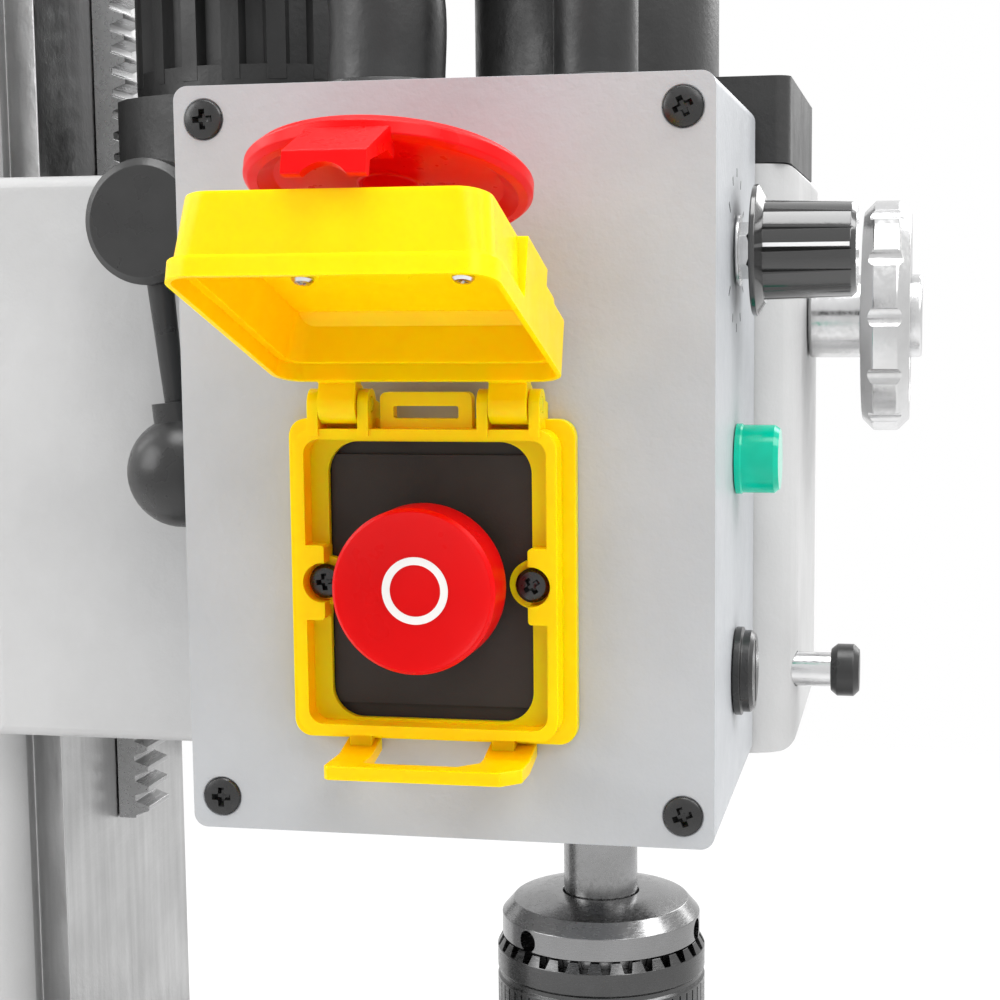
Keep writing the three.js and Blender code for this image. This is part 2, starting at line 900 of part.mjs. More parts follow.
// Profile from the dial outwards, bored for the screw's end
function handwheel() {
  const bore = journalRadius + gap;
  const rimInner = wheelRadius - wheelRimWidth;
  const webStart = wheelHubLength - wheelRimWidth;
  const rimEnd = webStart + wheelRimWidth;
  const body = turned([
    [bore, 0], [dialRadius, 0], [dialRadius, dialLength], [wheelHubRadius, dialLength],
    [wheelHubRadius, webStart], [rimInner, webStart], [wheelRadius, webStart],
    [wheelRadius, rimEnd], [rimInner, rimEnd], [rimInner, webStart + wheelWeb],
    [wheelHubRadius, webStart + wheelWeb], [wheelHubRadius, wheelHubLength],
    [bore, wheelHubLength], [bore, 0],
  ], turnSteps);
  const start = webStart + wheelWeb / 2;
  const neck = gripRadius / 2;
  const waistShare = 0.8;
  const gripStart = rimEnd + gripStem / 2;
  const grip = turned([
    [0, start], [neck, start], [neck, gripStart], [gripRadius, gripStart + gripRadius / 2],
    [gripRadius, gripStart + gripLength / 2],
    [gripRadius * waistShare, gripStart + gripLength - gripRadius / 2],
    [gripRadius / 2, gripStart + gripLength], [0, gripStart + gripLength],
  ], smallSteps).translate(wheelRadius - wheelRimWidth / 2 - gap, 0, 0);
  return joined(body, grip);
}

function makeFrontBracket() {
  const shape = roundedRect(-bracketWidth / 2, bracketWidth / 2, yScrewHeight - bracketHeight / 2,
    yScrewHeight + bracketHeight / 2, tableEdge);
  shape.holes.push(disc(0, yScrewHeight, journalRadius + gap, smallSteps));
  return alongY(shape, -baseReach - gap - bracketThickness, -baseReach - gap);
}

// Head casting: spindle block in front and the yoke round the column's dovetail behind

function makeHeadCasting() {
  const yokeBack = columnFace + slideHeight - gap;
  const front = common(
    alongZ(roundedRect(-headHalfWidth, headHalfWidth, -headReach, yokeBack, headCorner), -headDrop, headRise),
    alongX(roundedRect(-headReach, yokeBack, -headDrop, headRise, headEdge), -headHalfWidth, headHalfWidth),
  );
  const yoke = common(
    alongZ(roundedRect(-yokeHalfWidth, yokeHalfWidth, yokeFront, yokeBack, headEdge), -headDrop, headRise),
    alongY(roundedRect(-yokeHalfWidth, yokeHalfWidth, -headDrop, headRise, headEdge), yokeFront, yokeBack),
  );
  const nose = turnedZ([
    [0, -headDrop - noseLength], [noseRadius - headEdge / 2, -headDrop - noseLength],
    [noseRadius, -headDrop - noseLength + headEdge / 2], [noseRadius, -headDrop + headEdge],
    [0, -headDrop + headEdge],
  ]);
  return cut(joined(front, yoke, nose), ...headBores());
}

function headBores() {
  const low = -headDrop - noseLength;
  const slot = dovetailSlot(headWayWidth, -(columnFace + slideHeight), -columnFace, -1)
    .map(([across, up]) => [across, -up]);
  const feedBore = pitchRadius + toothTop + 2 * gap;
  return [
    alongZ(polygon(slot), low - overrun, headRise + overrun),
    alongZ(disc(0, 0, spindleBoreRadius, turnSteps), low - overrun, headRise + overrun),
    alongZ(disc(0, 0, bearingRadius, turnSteps), low - overrun, low + bearingHeight + gap),
    alongZ(disc(0, 0, bearingRadius, turnSteps), headRise - bearingHeight - gap, headRise + overrun),
    block(-rackSlotHalfWidth, rackSlotHalfWidth, rackPitchLine - toothTop - 3 * gap, columnFace + overrun,
      low - overrun, headRise + overrun),
    turnedX(rodProfile(feedBore, -rackSlotHalfWidth, yokeHalfWidth + overrun), smallSteps)
      .translate(0, pinionBack, feedRise),
    turnedX(rodProfile(leverShaftRadius + gap, -yokeHalfWidth - overrun, -headHalfWidth), smallSteps)
      .translate(0, leverBack, leverRise),
    turnedY(rodProfile(fineShaftRadius + gap, -headReach - overrun, -bearingRadius - fineHubRadius),
      smallSteps).translate(0, 0, fineRise),
    turnedY(rodProfile(clampPinRadius + gap, -headReach - overrun, clampDepth - headReach), smallSteps)
      .translate(-clampSide, 0, -clampDrop),
  ];
}

function makeHeadGib() {
  const points = gibStrip(headWayWidth, -(columnFace + slideHeight - gap), -columnFace, -1)
    .map(([across, up]) => [across, -up]);
  return alongZ(polygon(points), -headDrop, headRise);
}

// Spindle, bearings, pulleys and belt

function makeSpindle() {
  const low = -headDrop - noseLength;
  const noseTop = low - 2 * gap;
  const nose = noseTop - spindleNoseLength;
  const arborEnd = -chuckDrop - chuckDomeHeight;
  const shoulder = headRise + housingHeight - housingWall;
  return turnedZ([
    [0, arborEnd], [arborRadius, arborEnd], [arborRadius, nose], [spindleNoseRadius, nose],
    [spindleNoseRadius, noseTop], [spindleRadius, noseTop], [spindleRadius, shoulder],
    [drawbarRadius, shoulder], [drawbarRadius, spindleTopRise], [0, spindleTopRise],
  ]);
}

function makeBearing(from) {
  const inner = spindleRadius + gap;
  const outer = bearingRadius - gap;
  const race = (outer - inner) / 4;
  const step = bearingHeight / 10;
  const to = from + bearingHeight - gap;
  return turnedZ([
    [inner, from], [inner + race, from], [inner + race, from + step], [outer - race, from + step],
    [outer - race, from], [outer, from], [outer, to], [inner, to], [inner, from],
  ]);
}

const pulleyFloor = headRise + gap + (housingHeight - housingWall - pulleyHeight) / 2;
const beltFloor = pulleyFloor + (pulleyHeight - beltWidth) / 2;

function pulley(radius, bore) {
  const top = pulleyFloor + pulleyHeight;
  const flange = radius + flangeHeight;
  const seat = radius - beltThickness / 2;
  return turnedZ([
    [bore, pulleyFloor], [flange, pulleyFloor], [flange, pulleyFloor + flangeHeight / 2],
    [seat, beltFloor - gap], [seat, top - (beltFloor - pulleyFloor) + gap],
    [flange, top - flangeHeight / 2], [flange, top], [bore, top], [bore, pulleyFloor],
  ]);
}

// Belt round both pulleys, drawn as the space between two tangent loops
function beltLoop(grow) {
  const big = spindlePulleyRadius - beltThickness / 2 + grow;
  const small = motorPulleyRadius - beltThickness / 2 + grow;
  const lean = Math.asin((big - small) / motorOffset);
  const front = arcPoints(0, 0, big, Math.PI - lean, 2 * Math.PI + lean, smallSteps + arcSteps);
  const back = arcPoints(0, motorOffset, small, lean, Math.PI - lean, smallSteps);
  return [...front, ...back];
}

function makeBelt() {
  const shape = polygon(beltLoop(beltThickness + gap));
  shape.holes.push(polygon(beltLoop(gap)));
  return alongZ(shape, beltFloor, beltFloor + beltWidth);
}

function makeBeltHousing() {
  const back = motorOffset + cowlRadius - gap;
  const bottom = headRise + gap;
  const top = bottom + housingHeight;
  const shell = (inset) => {
    const shape = new THREE.Shape();
    const half = housingHalfWidth - inset;
    const front = inset - housingReach;
    const rear = back - inset;
    const corner = housingFrontCorner;
    const rearCorner = (half * 3) / 4;
    shape.moveTo(-half + corner, front);
    shape.lineTo(half - corner, front);
    shape.absarc(half - corner, front + corner, corner, -Math.PI / 2, 0, false);
    shape.lineTo(half, rear - rearCorner);
    shape.absarc(half - rearCorner, rear - rearCorner, rearCorner, 0, Math.PI / 2, false);
    shape.lineTo(-half + rearCorner, rear);
    shape.absarc(-half + rearCorner, rear - rearCorner, rearCorner, Math.PI / 2, Math.PI, false);
    shape.lineTo(-half, front + corner);
    shape.absarc(-half + corner, front + corner, corner, Math.PI, (3 * Math.PI) / 2, false);
    return shape;
  };
  return cut(
    alongZ(shell(0), bottom, top),
    alongZ(shell(housingWall), bottom - overrun, top - housingWall),
    alongZ(disc(0, 0, capRadius - 3 * capWall, turnSteps), top - housingWall - overrun, top + overrun),
    alongZ(disc(0, motorOffset, spindleRadius, turnSteps), top - housingWall - overrun, top + overrun),
  );
}

const housingTop = headRise + gap + housingHeight;
const motorFloor = housingTop + gap;

function makeDrawbarCap() {
  const top = motorFloor + capHeight;
  const edge = capWall / 2;
  return turnedZ([
    [capRadius - capWall, motorFloor], [capRadius, motorFloor], [capRadius, top - edge],
    [capRadius - edge, top], [0, top], [0, top - capWall], [capRadius - capWall, top - capWall],
    [capRadius - capWall, motorFloor],
  ], fineSteps);
}

// Motor with cooling ribs and a terminal box on its left side
function makeMotor() {
  const finRootShare = 1.5;
  const outline = [];
  for (let fin = 0; fin < motorFins; fin += 1) {
    const step = (2 * Math.PI) / motorFins;
    const angle = fin * step;
    const valley = motorRadius - motorFinDepth;
    const half = step / 5;
    outline.push(
      ...[
        [valley, angle - half * finRootShare], [motorRadius, angle - half],
        [motorRadius, angle + half], [valley, angle + half * finRootShare],
      ].map(([r, a]) => [r * Math.cos(a), motorOffset + r * Math.sin(a)]),
    );
  }
  const flange = motorHeight / 12;
  const body = alongZ(polygon(outline), motorFloor + flange / 2, motorFloor + motorHeight);
  const foot = alongZ(disc(0, motorOffset, motorRadius, fineSteps), motorFloor, motorFloor + flange);
  const lowTerminal = motorFloor + terminalRise;
  const terminal = alongZ(
    roundedRect(-motorRadius - terminalWidth, -motorRadius / 2, motorOffset - terminalDepth / 2,
      motorOffset + terminalDepth / 2, tableEdge),
    lowTerminal,
    lowTerminal + terminalHeight,
  );
  const shaft = turnedZ(rodProfile(drawbarRadius, pulleyFloor + pulleyHeight + gap, motorFloor + flange))
    .translate(0, motorOffset, 0);
  return joined(body, foot, terminal, shaft);
}

function makeMotorCowl() {
  const bottom = motorFloor + motorHeight + gap;
  const top = bottom + cowlHeight;
  const bevel = cowlHeight / 5;
  const shell = turnedZ([
    [cowlRadius - cowlWall, bottom], [cowlRadius, bottom], [cowlRadius, top - bevel],
    [cowlRadius - bevel, top], [0, top], [0, top - cowlWall], [cowlRadius - bevel - cowlWall, top - cowlWall],
    [cowlRadius - cowlWall, top - bevel - cowlWall], [cowlRadius - cowlWall, bottom],
  ], turnSteps);
  const slots = [];
  const slotCount = 6;
  for (let i = 0; i < slotCount; i += 1) {
    const slot = block(cowlRadius / 4, (cowlRadius * 5) / 8, -cowlWall, cowlWall,
      top - cowlWall - overrun, top + overrun);
    slots.push(slot.rotateZ((i * 2 * Math.PI) / slotCount));
  }
  return cut(shell, ...slots).translate(0, motorOffset, 0);
}

function makeMotorPulley() {
  const top = pulleyFloor + pulleyHeight;
  const body = pulley(motorPulleyRadius, drawbarRadius / 2);
  const stub = turnedZ(rodProfile(drawbarRadius / 2 + gap, pulleyFloor, top));
  return joined(body, stub).translate(0, motorOffset, 0);
}

// Keyed chuck

const chuckTop = -chuckDrop;
const sleeveTop = chuckTop - chuckDomeHeight - chuckRingHeight;
const sleeveBottom = sleeveTop - sleeveHeight;
const chuckBottom = chuckTop - chuckLength + jawShow;

function makeChuckBody() {
  const seat = arborRadius + gap;
  const neck = sleeveRadius - sleeveWall - gap;
  const cavityTop = sleeveTop - chuckRingHeight;
  const seatEnd = chuckTop - chuckDomeHeight - gap;
  const crownShare = 0.62;
  const shoulderShare = 0.88;
  return turnedZ([
    [seat, chuckTop], [chuckRadius * crownShare, chuckTop],
    [chuckRadius * shoulderShare, chuckTop - chuckDomeHeight / 3],
    [chuckRadius, chuckTop - chuckDomeHeight], [chuckRadius, sleeveTop + gap], [neck, sleeveTop + gap],
    [neck, sleeveBottom], [chuckNoseRadius, chuckBottom], [chuckNoseRadius - chuckNoseWall, chuckBottom],
    [neck - chuckNoseWall, sleeveBottom + chuckRingHeight], [neck - chuckNoseWall, cavityTop], [0, cavityTop],
    [0, seatEnd], [seat, seatEnd], [seat, chuckTop],
  ]);
}

function makeChuckSleeve() {
  const inner = sleeveRadius - sleeveWall;
  const bevel = sleeveWall / 3;
  const top = sleeveTop;
  const outline = [];
  for (let i = 0; i < sleeveFlutes; i += 1) {
    const step = (2 * Math.PI) / sleeveFlutes;
    outline.push([sleeveRadius, (i + 1 / 4) * step], [sleeveRadius - sleeveFluteDepth, (i + 3 / 4) * step]);
  }
  const grip = polygon(outline.map(([r, a]) => [r * Math.cos(a), r * Math.sin(a)]));
  const knurled = common(
    alongZ(grip, sleeveBottom, top),
    turnedZ([
      [0, sleeveBottom], [sleeveRadius - 2 * bevel, sleeveBottom],
      [sleeveRadius + bevel, sleeveBottom + 3 * bevel], [sleeveRadius + bevel, top - bevel],
      [sleeveRadius - bevel, top], [0, top],
    ], fineSteps),
  );
  const teeth = [];
  for (let i = 0; i < sleeveTeeth; i += 1) {
    const width = (Math.PI * sleeveRadius) / sleeveTeeth / 2;
    const tooth = block(inner - overrun, sleeveRadius + overrun, -width, width,
      top - sleeveToothHeight, top + overrun);
    teeth.push(tooth.rotateZ((i * 2 * Math.PI) / sleeveTeeth));
  }
  return cut(knurled, alongZ(disc(0, 0, inner, fineSteps), sleeveBottom - overrun, top + overrun), ...teeth);
}

// A jaw: its grip face is upright, and its back leans with the cone in the body
function makeJaw(index) {
  const tip = chuckBottom - jawShow;
  const slope = Math.tan(jawLean);
  const back = chuckNoseRadius - chuckNoseWall - 3 * gap - jawShow * slope;
  const gripHeight = (jawOpening + jawDepth - back) / slope;
  const section = polygon([
    [jawOpening, tip], [back, tip], [back + jawLength * slope, tip + jawLength],
    [back + jawLength * slope - jawDepth, tip + jawLength], [jawOpening, tip + gripHeight],
  ]);
  return alongY(section, -jawWidth / 2, jawWidth / 2).rotateZ((index * 2 * Math.PI) / jawCount);
}

// Feed shaft with its pinion and hub, and the spokes

const feedHubStart = yokeHalfWidth + feedHubGap;

function makeFeedPinion() {
  const end = feedHubStart + feedHubLength;
  const gear = alongX(polygon(pinionOutline()), -rackWidth / 2, rackWidth / 2);
  const shaft = turnedX([
    [0, -rackWidth / 2], [feedShaftRadius, -rackWidth / 2], [feedShaftRadius, rackWidth / 2 + gap],
    [pitchRadius, rackWidth / 2 + gap], [pitchRadius, yokeHalfWidth], [feedShaftRadius, yokeHalfWidth + gap],
    [feedShaftRadius, feedHubStart], [feedHubRadius, feedHubStart], [feedHubRadius, end - tableEdge],
    [feedHubRadius - tableEdge, end], [0, end],
  ]);
  const seats = spokeAngles().map((angle) => spokeRod(spokeRadius + gap, angle, overrun));
  return cut(joined(gear, shaft), ...seats);
}

function spokeAngles() {
  return Array.from({ length: spokeCount }, (_, i) => (i * 2 * Math.PI) / spokeCount + Math.PI / 6);
}

const spokeSeat = feedHubRadius - feedShaftRadius;

// A rod along a spoke's line, from its seat in the hub
function spokeRod(radius, angle, extra) {
  const rod = turned(rodProfile(radius, spokeSeat, spokeReach + extra), smallSteps);
  return spokePlaced(rod, angle);
}

// Spokes stand in the hub's middle and lean away from the head
function spokePlaced(geometry, angle) {
  return geometry
    .rotateZ(-spokeLean)
    .translate(feedHubStart + feedHubLength / 2 - feedShaftRadius / 2, 0, 0)
    .rotateX(angle);
}

function makeSpoke(angle) {
  const from = spokeSeat + gap;
  const knobFrom = spokeReach - spokeKnobLength;
  // Radii of the knob and places along it, from its foot to its tip
  const knobShares = [[0.55, 0], [0.75, 0.25], [1, 0.67], [0.8, 0.88], [0.4, 1]];
  const knob = knobShares.map(([wide, along]) => [
    spokeKnobRadius * wide, knobFrom + spokeKnobLength * along,
  ]);
  const profile = [[0, from], [spokeRadius, from], [spokeRadius, knobFrom], ...knob, [0, spokeReach]];
  return spokePlaced(turned(profile, smallSteps), angle);
}

// Fine feed wheel in front, with its shaft

function makeFineWheel() {
  const start = headReach + gap;
  const face = start + fineHubLength;
  const end = face + fineWheelWidth;
  const round = fineWheelWidth / 4;
  const shaftEnd = bearingRadius + fineHubRadius + fineShaftRadius;
  return turnedY([
    [0, -shaftEnd], [fineShaftRadius, -shaftEnd], [fineShaftRadius, -start], [fineHubRadius, -start],
    [fineHubRadius, -face], [fineWheelRadius - round, -face], [fineWheelRadius, -face - round],
    [fineWheelRadius, -end + round], [fineWheelRadius - round, -end],
    [fineWheelRadius - 2 * round, -end], [fineWheelRadius - 3 * round, -end + fineDish],
    [fineHubRadius, -end + fineDish], [fineHubRadius, -end - round], [0, -end - round],
  ].reverse()).translate(0, 0, fineRise);
}

function makeClampScrew() {
  const reach = headReach + clampPinReach;
  const end = reach + clampKnobLength;
  const round = clampKnobLength / 5;
  return turnedY([
    [0, -end], [clampKnobRadius - round, -end], [clampKnobRadius, -end + round],
    [clampKnobRadius, -reach - round], [clampKnobRadius - round, -reach], [clampPinRadius, -reach],
    [clampPinRadius, clampDepth - headReach - gap], [0, clampDepth - headReach - gap],
  ], smallSteps).translate(-clampSide, 0, -clampDrop);
}

// Lock lever on the left side of the yoke: a hub on a shaft, a tapered arm and a ball

function makeLockLever() {
  const face = -yokeHalfWidth - gap;
  const inner = face - leverStandoff;
  const outer = inner - leverHubLength;
  const collarShare = 0.7;
  const neckShare = 0.42;
  const collar = leverHubRadius * collarShare;
  const bevel = leverHubRadius / 8;
  const hub = turnedX([
    [0, outer], [leverHubRadius - bevel, outer], [leverHubRadius, outer + bevel],
    [leverHubRadius, inner - bevel],
    [leverHubRadius - bevel, inner], [collar, inner], [collar, face], [leverShaftRadius, face],
    [leverShaftRadius, -headHalfWidth - gap], [0, -headHalfWidth - gap],
  ]).translate(0, leverBack, leverRise);
  const run = Math.hypot(leverBack - leverBallBack, leverRise + leverBallDrop);
  const lean = Math.atan2(leverBack - leverBallBack, leverRise + leverBallDrop);
  const collarHeight = leverBallRadius / 4;
  const neck = leverBallRadius * neckShare;
  const neckStart = run - leverBallRadius - collarHeight;
  const ball = arcPoints(0, run, leverBallRadius, -Math.acos(neckShare), Math.PI / 2, arcSteps * 2);
  const arm = turned([
    [0, leverHubRadius / 2], [leverRootRadius, leverHubRadius / 2], [leverTipRadius, neckStart],
    [neck, neckStart], [neck, ball[0][1]], ...ball.slice(1, -1), [0, run + leverBallRadius],
  ], smallSteps)
    .rotateX(-Math.PI / 2 - lean)
    .translate((inner + outer) / 2, leverBack, leverRise);
  return joined(hub, arm);
}

// Control box, in its own axes

const coverBack = -coverThickness;
const boxFront = coverBack - gap;
const boxRear = -(plateStandoff - headHalfWidth - gap);
const narrowSide = boxWidth / 2;
const boxTopV = boxHeight / 2;

function coverScrewPlaces() {
  const u = boxWidth / 2 - coverScrewInsetU;
  const v = boxHeight / 2 - coverScrewInsetV;
  return [[-u, v], [u, v], [u, -v], [-u, -v]];
}

function makeBox() {
  const outer = alongZ(rectAbout(0, 0, boxWidth, boxHeight, boxCorner), boxRear, boxFront);
  const inner = alongZ(
    rectAbout(0, 0, boxWidth - 2 * boxWall, boxHeight - 2 * boxWall, boxCorner / 2),
    boxRear + boxWall,
    boxFront + overrun,
  );
  const bosses = coverScrewPlaces().map(([u, v]) => {
    const cornerU = Math.sign(u) * (boxWidth / 2 - boxWall / 2);
    const cornerV = Math.sign(v) * (boxHeight / 2 - boxWall / 2);
    const innerU = u - Math.sign(u) * bossRadius;
    const innerV = v - Math.sign(v) * bossRadius;
    return block(Math.min(innerU, cornerU), Math.max(innerU, cornerU), Math.min(innerV, cornerV),
      Math.max(innerV, cornerV), boxFront - bossLength, boxFront);
  });
  const screwHoles = coverScrewPlaces().map(([u, v]) =>
    alongZ(
      disc(u, v, coverScrewShank + gap, holeSteps),
      boxFront - coverScrewLength - overrun,
      boxFront + overrun,
    ));
  const sideHole = (radius, height) =>
    turnedX(rodProfile(radius, narrowSide - boxWall - overrun, narrowSide + overrun), smallSteps)
      .translate(0, height, -controlDepth);
  const topHole = (radius, u) =>
    turnedY(rodProfile(radius, boxTopV - boxWall - overrun, boxTopV + overrun), smallSteps)
      .translate(u, 0, -conduitDepth);
  return cut(
    joined(cut(outer, inner), ...bosses),
    ...screwHoles,
    sideHole(potBushRadius + gap, knobHeight),
    sideHole(lampBodyRadius + gap, lampHeight),
    sideHole(fuseBodyRadius + gap, fuseHeight),
    topHole(motorConduitRadius - conduitNutLip + gap, motorConduitU),
    topHole(sensorConduitRadius - conduitNutLip + gap, sensorConduitU),
  );
}

function makeCover() {
  const plate = alongZ(rectAbout(0, 0, boxWidth, boxHeight, boxCorner), coverBack, 0);
  const screwHoles = coverScrewPlaces().map(([u, v]) => turnedZ([
    [0, coverBack - overrun], [coverScrewShank + gap, coverBack - overrun],
    [coverScrewShank + gap, coverBack + gap], [coverScrewRadius + gap, gap / 3],
    [coverScrewRadius + gap, overrun], [0, overrun],
  ], smallSteps).translate(u, v, 0));
  const opening = alongZ(rectAbout(switchU, switchV, switchCutWidth, switchCutTall, boxCorner),
    coverBack - overrun, overrun);
  const switchHoles = [-1, 1].map((side) => alongZ(
    disc(switchU + (side * screwSpacing) / 2, switchV, switchScrewShank + gap, holeSteps),
    coverBack - overrun,
    overrun,
  ));
  return cut(plate, opening, ...screwHoles, ...switchHoles);
}

function crossRecess(top, turn, size) {
  const half = (crossLength * size) / 2;
  const thin = (crossWidth * size) / 2;
  return joined(
    block(-half, half, -thin, thin, top - crossDepth, top + overrun),
    block(-thin, thin, -half, half, top - crossDepth, top + overrun),
  ).rotateZ(turn);
}

// A screw's rounding point, as shares of its head's radius and of its dome
const domeShares = [0.75, 0.7];

function makeCoverScrew(u, v, turn) {
  const headBase = coverBack + gap;
  const screw = turnedZ([
    [0, boxFront - coverScrewLength], [coverScrewShank, boxFront - coverScrewLength],
    [coverScrewShank, headBase], [coverScrewRadius, 0],
    [coverScrewRadius * domeShares[0], screwDome * domeShares[1]], [0, screwDome],
  ], smallSteps);
  return cut(screw, crossRecess(screwDome, turn, 1)).translate(u, v, 0);
}

// Switch on the cover

const switchFloor = gap + switchPlateThickness + switchPlateStep + gap;

function makeSwitchBody() {
  const flange = alongZ(
    rectAbout(switchU, switchV, flangeWidth - 4 * lipWall, flangeTall - 4 * lipWall, lipCorner),
    gap,
    gap + switchPlateThickness,
  );
  const bandTall = windowTall - 2 * switchPlateBand;
  const raised = alongZ(rectAbout(switchU, switchV, windowWidth - gap, bandTall, gap),
    gap + switchPlateThickness - gap, gap + switchPlateThickness + switchPlateStep);
  const rearWidth = screwSpacing - 2 * switchScrewShank - 2 * switchRearMargin;
  const rear = alongZ(
    rectAbout(switchU, switchV, rearWidth, switchCutTall - 2 * gap, boxCorner),
    -switchBodyDepth,
    switchPlateThickness,
  );
  const guideFloor = buttonRear - buttonSink - stopTravel - gap;
  const guide = turnedZ(rodProfile(buttonStemRadius + gap, guideFloor, buttonRear), turnSteps)
    .translate(switchU, switchV, 0);
  const screwHoles = [-1, 1].map((side) => alongZ(
    disc(switchU + (side * screwSpacing) / 2, switchV, switchScrewShank + gap, holeSteps),
    -overrun,
    screwPadHeight,
  ));
  return cut(joined(flange, raised, rear), guide, ...screwHoles);
}

function makeSwitchBase() {
  const floorBottom = switchFloor;
  const floorTop = switchFloor + flangeThickness / 2;
  const middleRect = (width, tall, corner) => rectAbout(switchU, switchV, width, tall, corner);
  const flange = alongZ(middleRect(flangeWidth, flangeTall, flangeCorner), gap, flangeThickness);
  const lip = alongZ(middleRect(lipWidth, lipTall, lipCorner), flangeThickness / 2, lipHeight);
  const inside = alongZ(
    middleRect(lipWidth - 2 * lipWall, lipTall - 2 * lipWall, lipCorner - lipWall / 2),
    floorTop,
    lipHeight + overrun,
  );
  const under = alongZ(
    middleRect(flangeWidth - 4 * lipWall + 2 * gap, flangeTall - 4 * lipWall + 2 * gap, lipCorner),
    -overrun,
    floorBottom,
  );
  const window = alongZ(middleRect(windowWidth, windowTall, windowCorner), -overrun, lipHeight + overrun);
  const shell = cut(joined(flange, lip), inside, under, window);
  const additions = [];
  const holes = [];
  for (const side of [-1, 1]) {
    const screwU = switchU + (side * screwSpacing) / 2;
    const wallU = switchU + side * (lipWidth / 2 - lipWall / 2);
    const bossU = switchU + side * (lipWidth / 2 - lipWall - bossReach);
    additions.push(block(Math.min(wallU, bossU), Math.max(wallU, bossU), switchV - bossTall / 2,
      switchV + bossTall / 2, floorBottom, lipHeight));
    additions.push(alongZ(disc(screwU, switchV, screwPadRadius, smallSteps), floorBottom, screwPadHeight));
    holes.push(alongZ(disc(screwU, switchV, switchScrewShank + gap, holeSteps), -overrun, lipHeight));
    holes.push(alongZ(disc(screwU, switchV, switchScrewRadius + 2 * gap, smallSteps), screwPadHeight,
      lipHeight + overrun));
  }
  return cut(joined(shell, ...additions, topHandle(), ...bottomCatch(), ...hingeEars()), ...holes);
}

// The small loop over the base
function topHandle() {
  const low = switchV + flangeTall / 2 - handleBar;
  const high = low + handleBar + handleTall;
  const outer = roundedRect(switchU - handleWidth / 2, switchU + handleWidth / 2, low, high, handleBar / 2);
  const inner = roundedRect(switchU - handleWidth / 2 + handleBar, switchU + handleWidth / 2 - handleBar,
    high - handleTall + gap, high - handleBar, handleBar / 6);
  outer.holes.push(inner);
  return alongZ(outer, lipHeight - 2 * handleThickness, lipHeight - handleThickness);
}

// The loop below the base that takes a padlock: two legs that stand out, a cross bar with one cut corner,
// and a root over each leg that ties it to the flange
function bottomCatch() {
  const edge = switchV - flangeTall / 2;
  const top = edge - catchDrop;
  const bottom = top - catchThickness;
  const innerLeft = catchLegLeft - catchLeft;
  const innerRight = catchRight - catchLegRight;
  const outer = catchOutline(-catchLeft, catchRight, gap, catchReach);
  const inner = catchOutline(innerLeft, innerRight, -overrun, catchReach - catchBar);
  const root = (near, far) => block(Math.min(near, far), Math.max(near, far), bottom, edge + flangeLedge / 2,
    gap, catchRootReach);
  const leftRoot = switchU + innerLeft - catchRootInset;
  const rightRoot = switchU + innerRight + catchRootInset;
  return [
    cut(alongY(outer, bottom, top), alongY(inner, bottom - overrun, top + overrun)),
    root(leftRoot, leftRoot - catchRootWidth),
    root(rightRoot, rightRoot + catchRootWidth),
  ];
}

function catchOutline(left, right, low, high) {
  const small = catchCorner / 4;
  return polygon([
    [switchU + left, low], [switchU + right, low], [switchU + right, high - catchCorner],
    [switchU + right - catchCorner, high], [switchU + left + small, high], [switchU + left, high - small],
  ]);
}

function hingeEars() {
  const axisV = switchV + hingeV;
  const ears = [];
  for (const side of [-1, 1]) {
    const armMiddle = switchU + (side * armSpacing) / 2;
    for (const half of [-1, 1]) {
      const inner = armMiddle + half * (armWidth / 2 + gap);
      const outer = inner + half * earThickness;
      const low = switchV + flangeTall / 2 - earReach;
      const ear = alongX(earShape(low, axisV), Math.min(inner, outer), Math.max(inner, outer));
      ears.push(cut(ear, turnedX(rodProfile(pinRadius + gap, Math.min(inner, outer) - overrun,
        Math.max(inner, outer) + overrun), holeSteps).translate(0, axisV, hingeW)));
    }
  }
  return ears;
}

function earShape(low, axisV) {
  const round = earReach;
  const points = arcPoints(axisV, hingeW, round, -Math.PI / 2, Math.PI / 2, arcSteps + 1);
  return polygon([[low, gap], [axisV, gap], ...points.slice(1), [low, hingeW + round]]);
}

function makeSwitchScrew(side, turn) {
  const top = screwPadHeight + gap + switchScrewHead;
  const low = screwPadHeight + gap;
  const dome = switchScrewHead / 2;
  const recessShare = 0.8;
  const screw = turnedZ([
    [0, low - switchScrewLength], [switchScrewShank, low - switchScrewLength], [switchScrewShank, low],
    [switchScrewRadius, low], [switchScrewRadius, top - dome],
    [switchScrewRadius * domeShares[0], top - dome + dome * domeShares[1]], [0, top],
  ], smallSteps);
  return cut(screw, crossRecess(top, turn, recessShare))
    .translate(switchU + (side * screwSpacing) / 2, switchV, 0);
}

function makeStopButton() {
  const floor = buttonRear - buttonSink;
  const face = buttonFront - buttonDish;
  const dish = (radius) => face + (buttonDish * radius * radius) / (buttonRadius * buttonRadius);
  const middle = (ringOuterRadius + buttonRadius) / 2;
  const profile = [
    [0, floor], [buttonStemRadius, floor], [buttonStemRadius, buttonRear],
    [buttonRadius - buttonEdge, buttonRear], [buttonRadius, buttonRear + buttonEdge],
    [buttonRadius, buttonFront - buttonEdge], [buttonRadius - buttonEdge, buttonFront],
    [middle, dish(middle)],
    [ringOuterRadius, dish(ringOuterRadius)], [ringOuterRadius, dish(ringOuterRadius) + ringHeight],
    [ringInnerRadius, dish(ringInnerRadius) + ringHeight], [ringInnerRadius, dish(ringInnerRadius)],
    [0, face],
  ];
  return turnedZ(profile, fineSteps).translate(switchU, switchV, 0);
}

// Lid, drawn closed about the hinge: x along u, y towards the latch is negative, z out of the cover

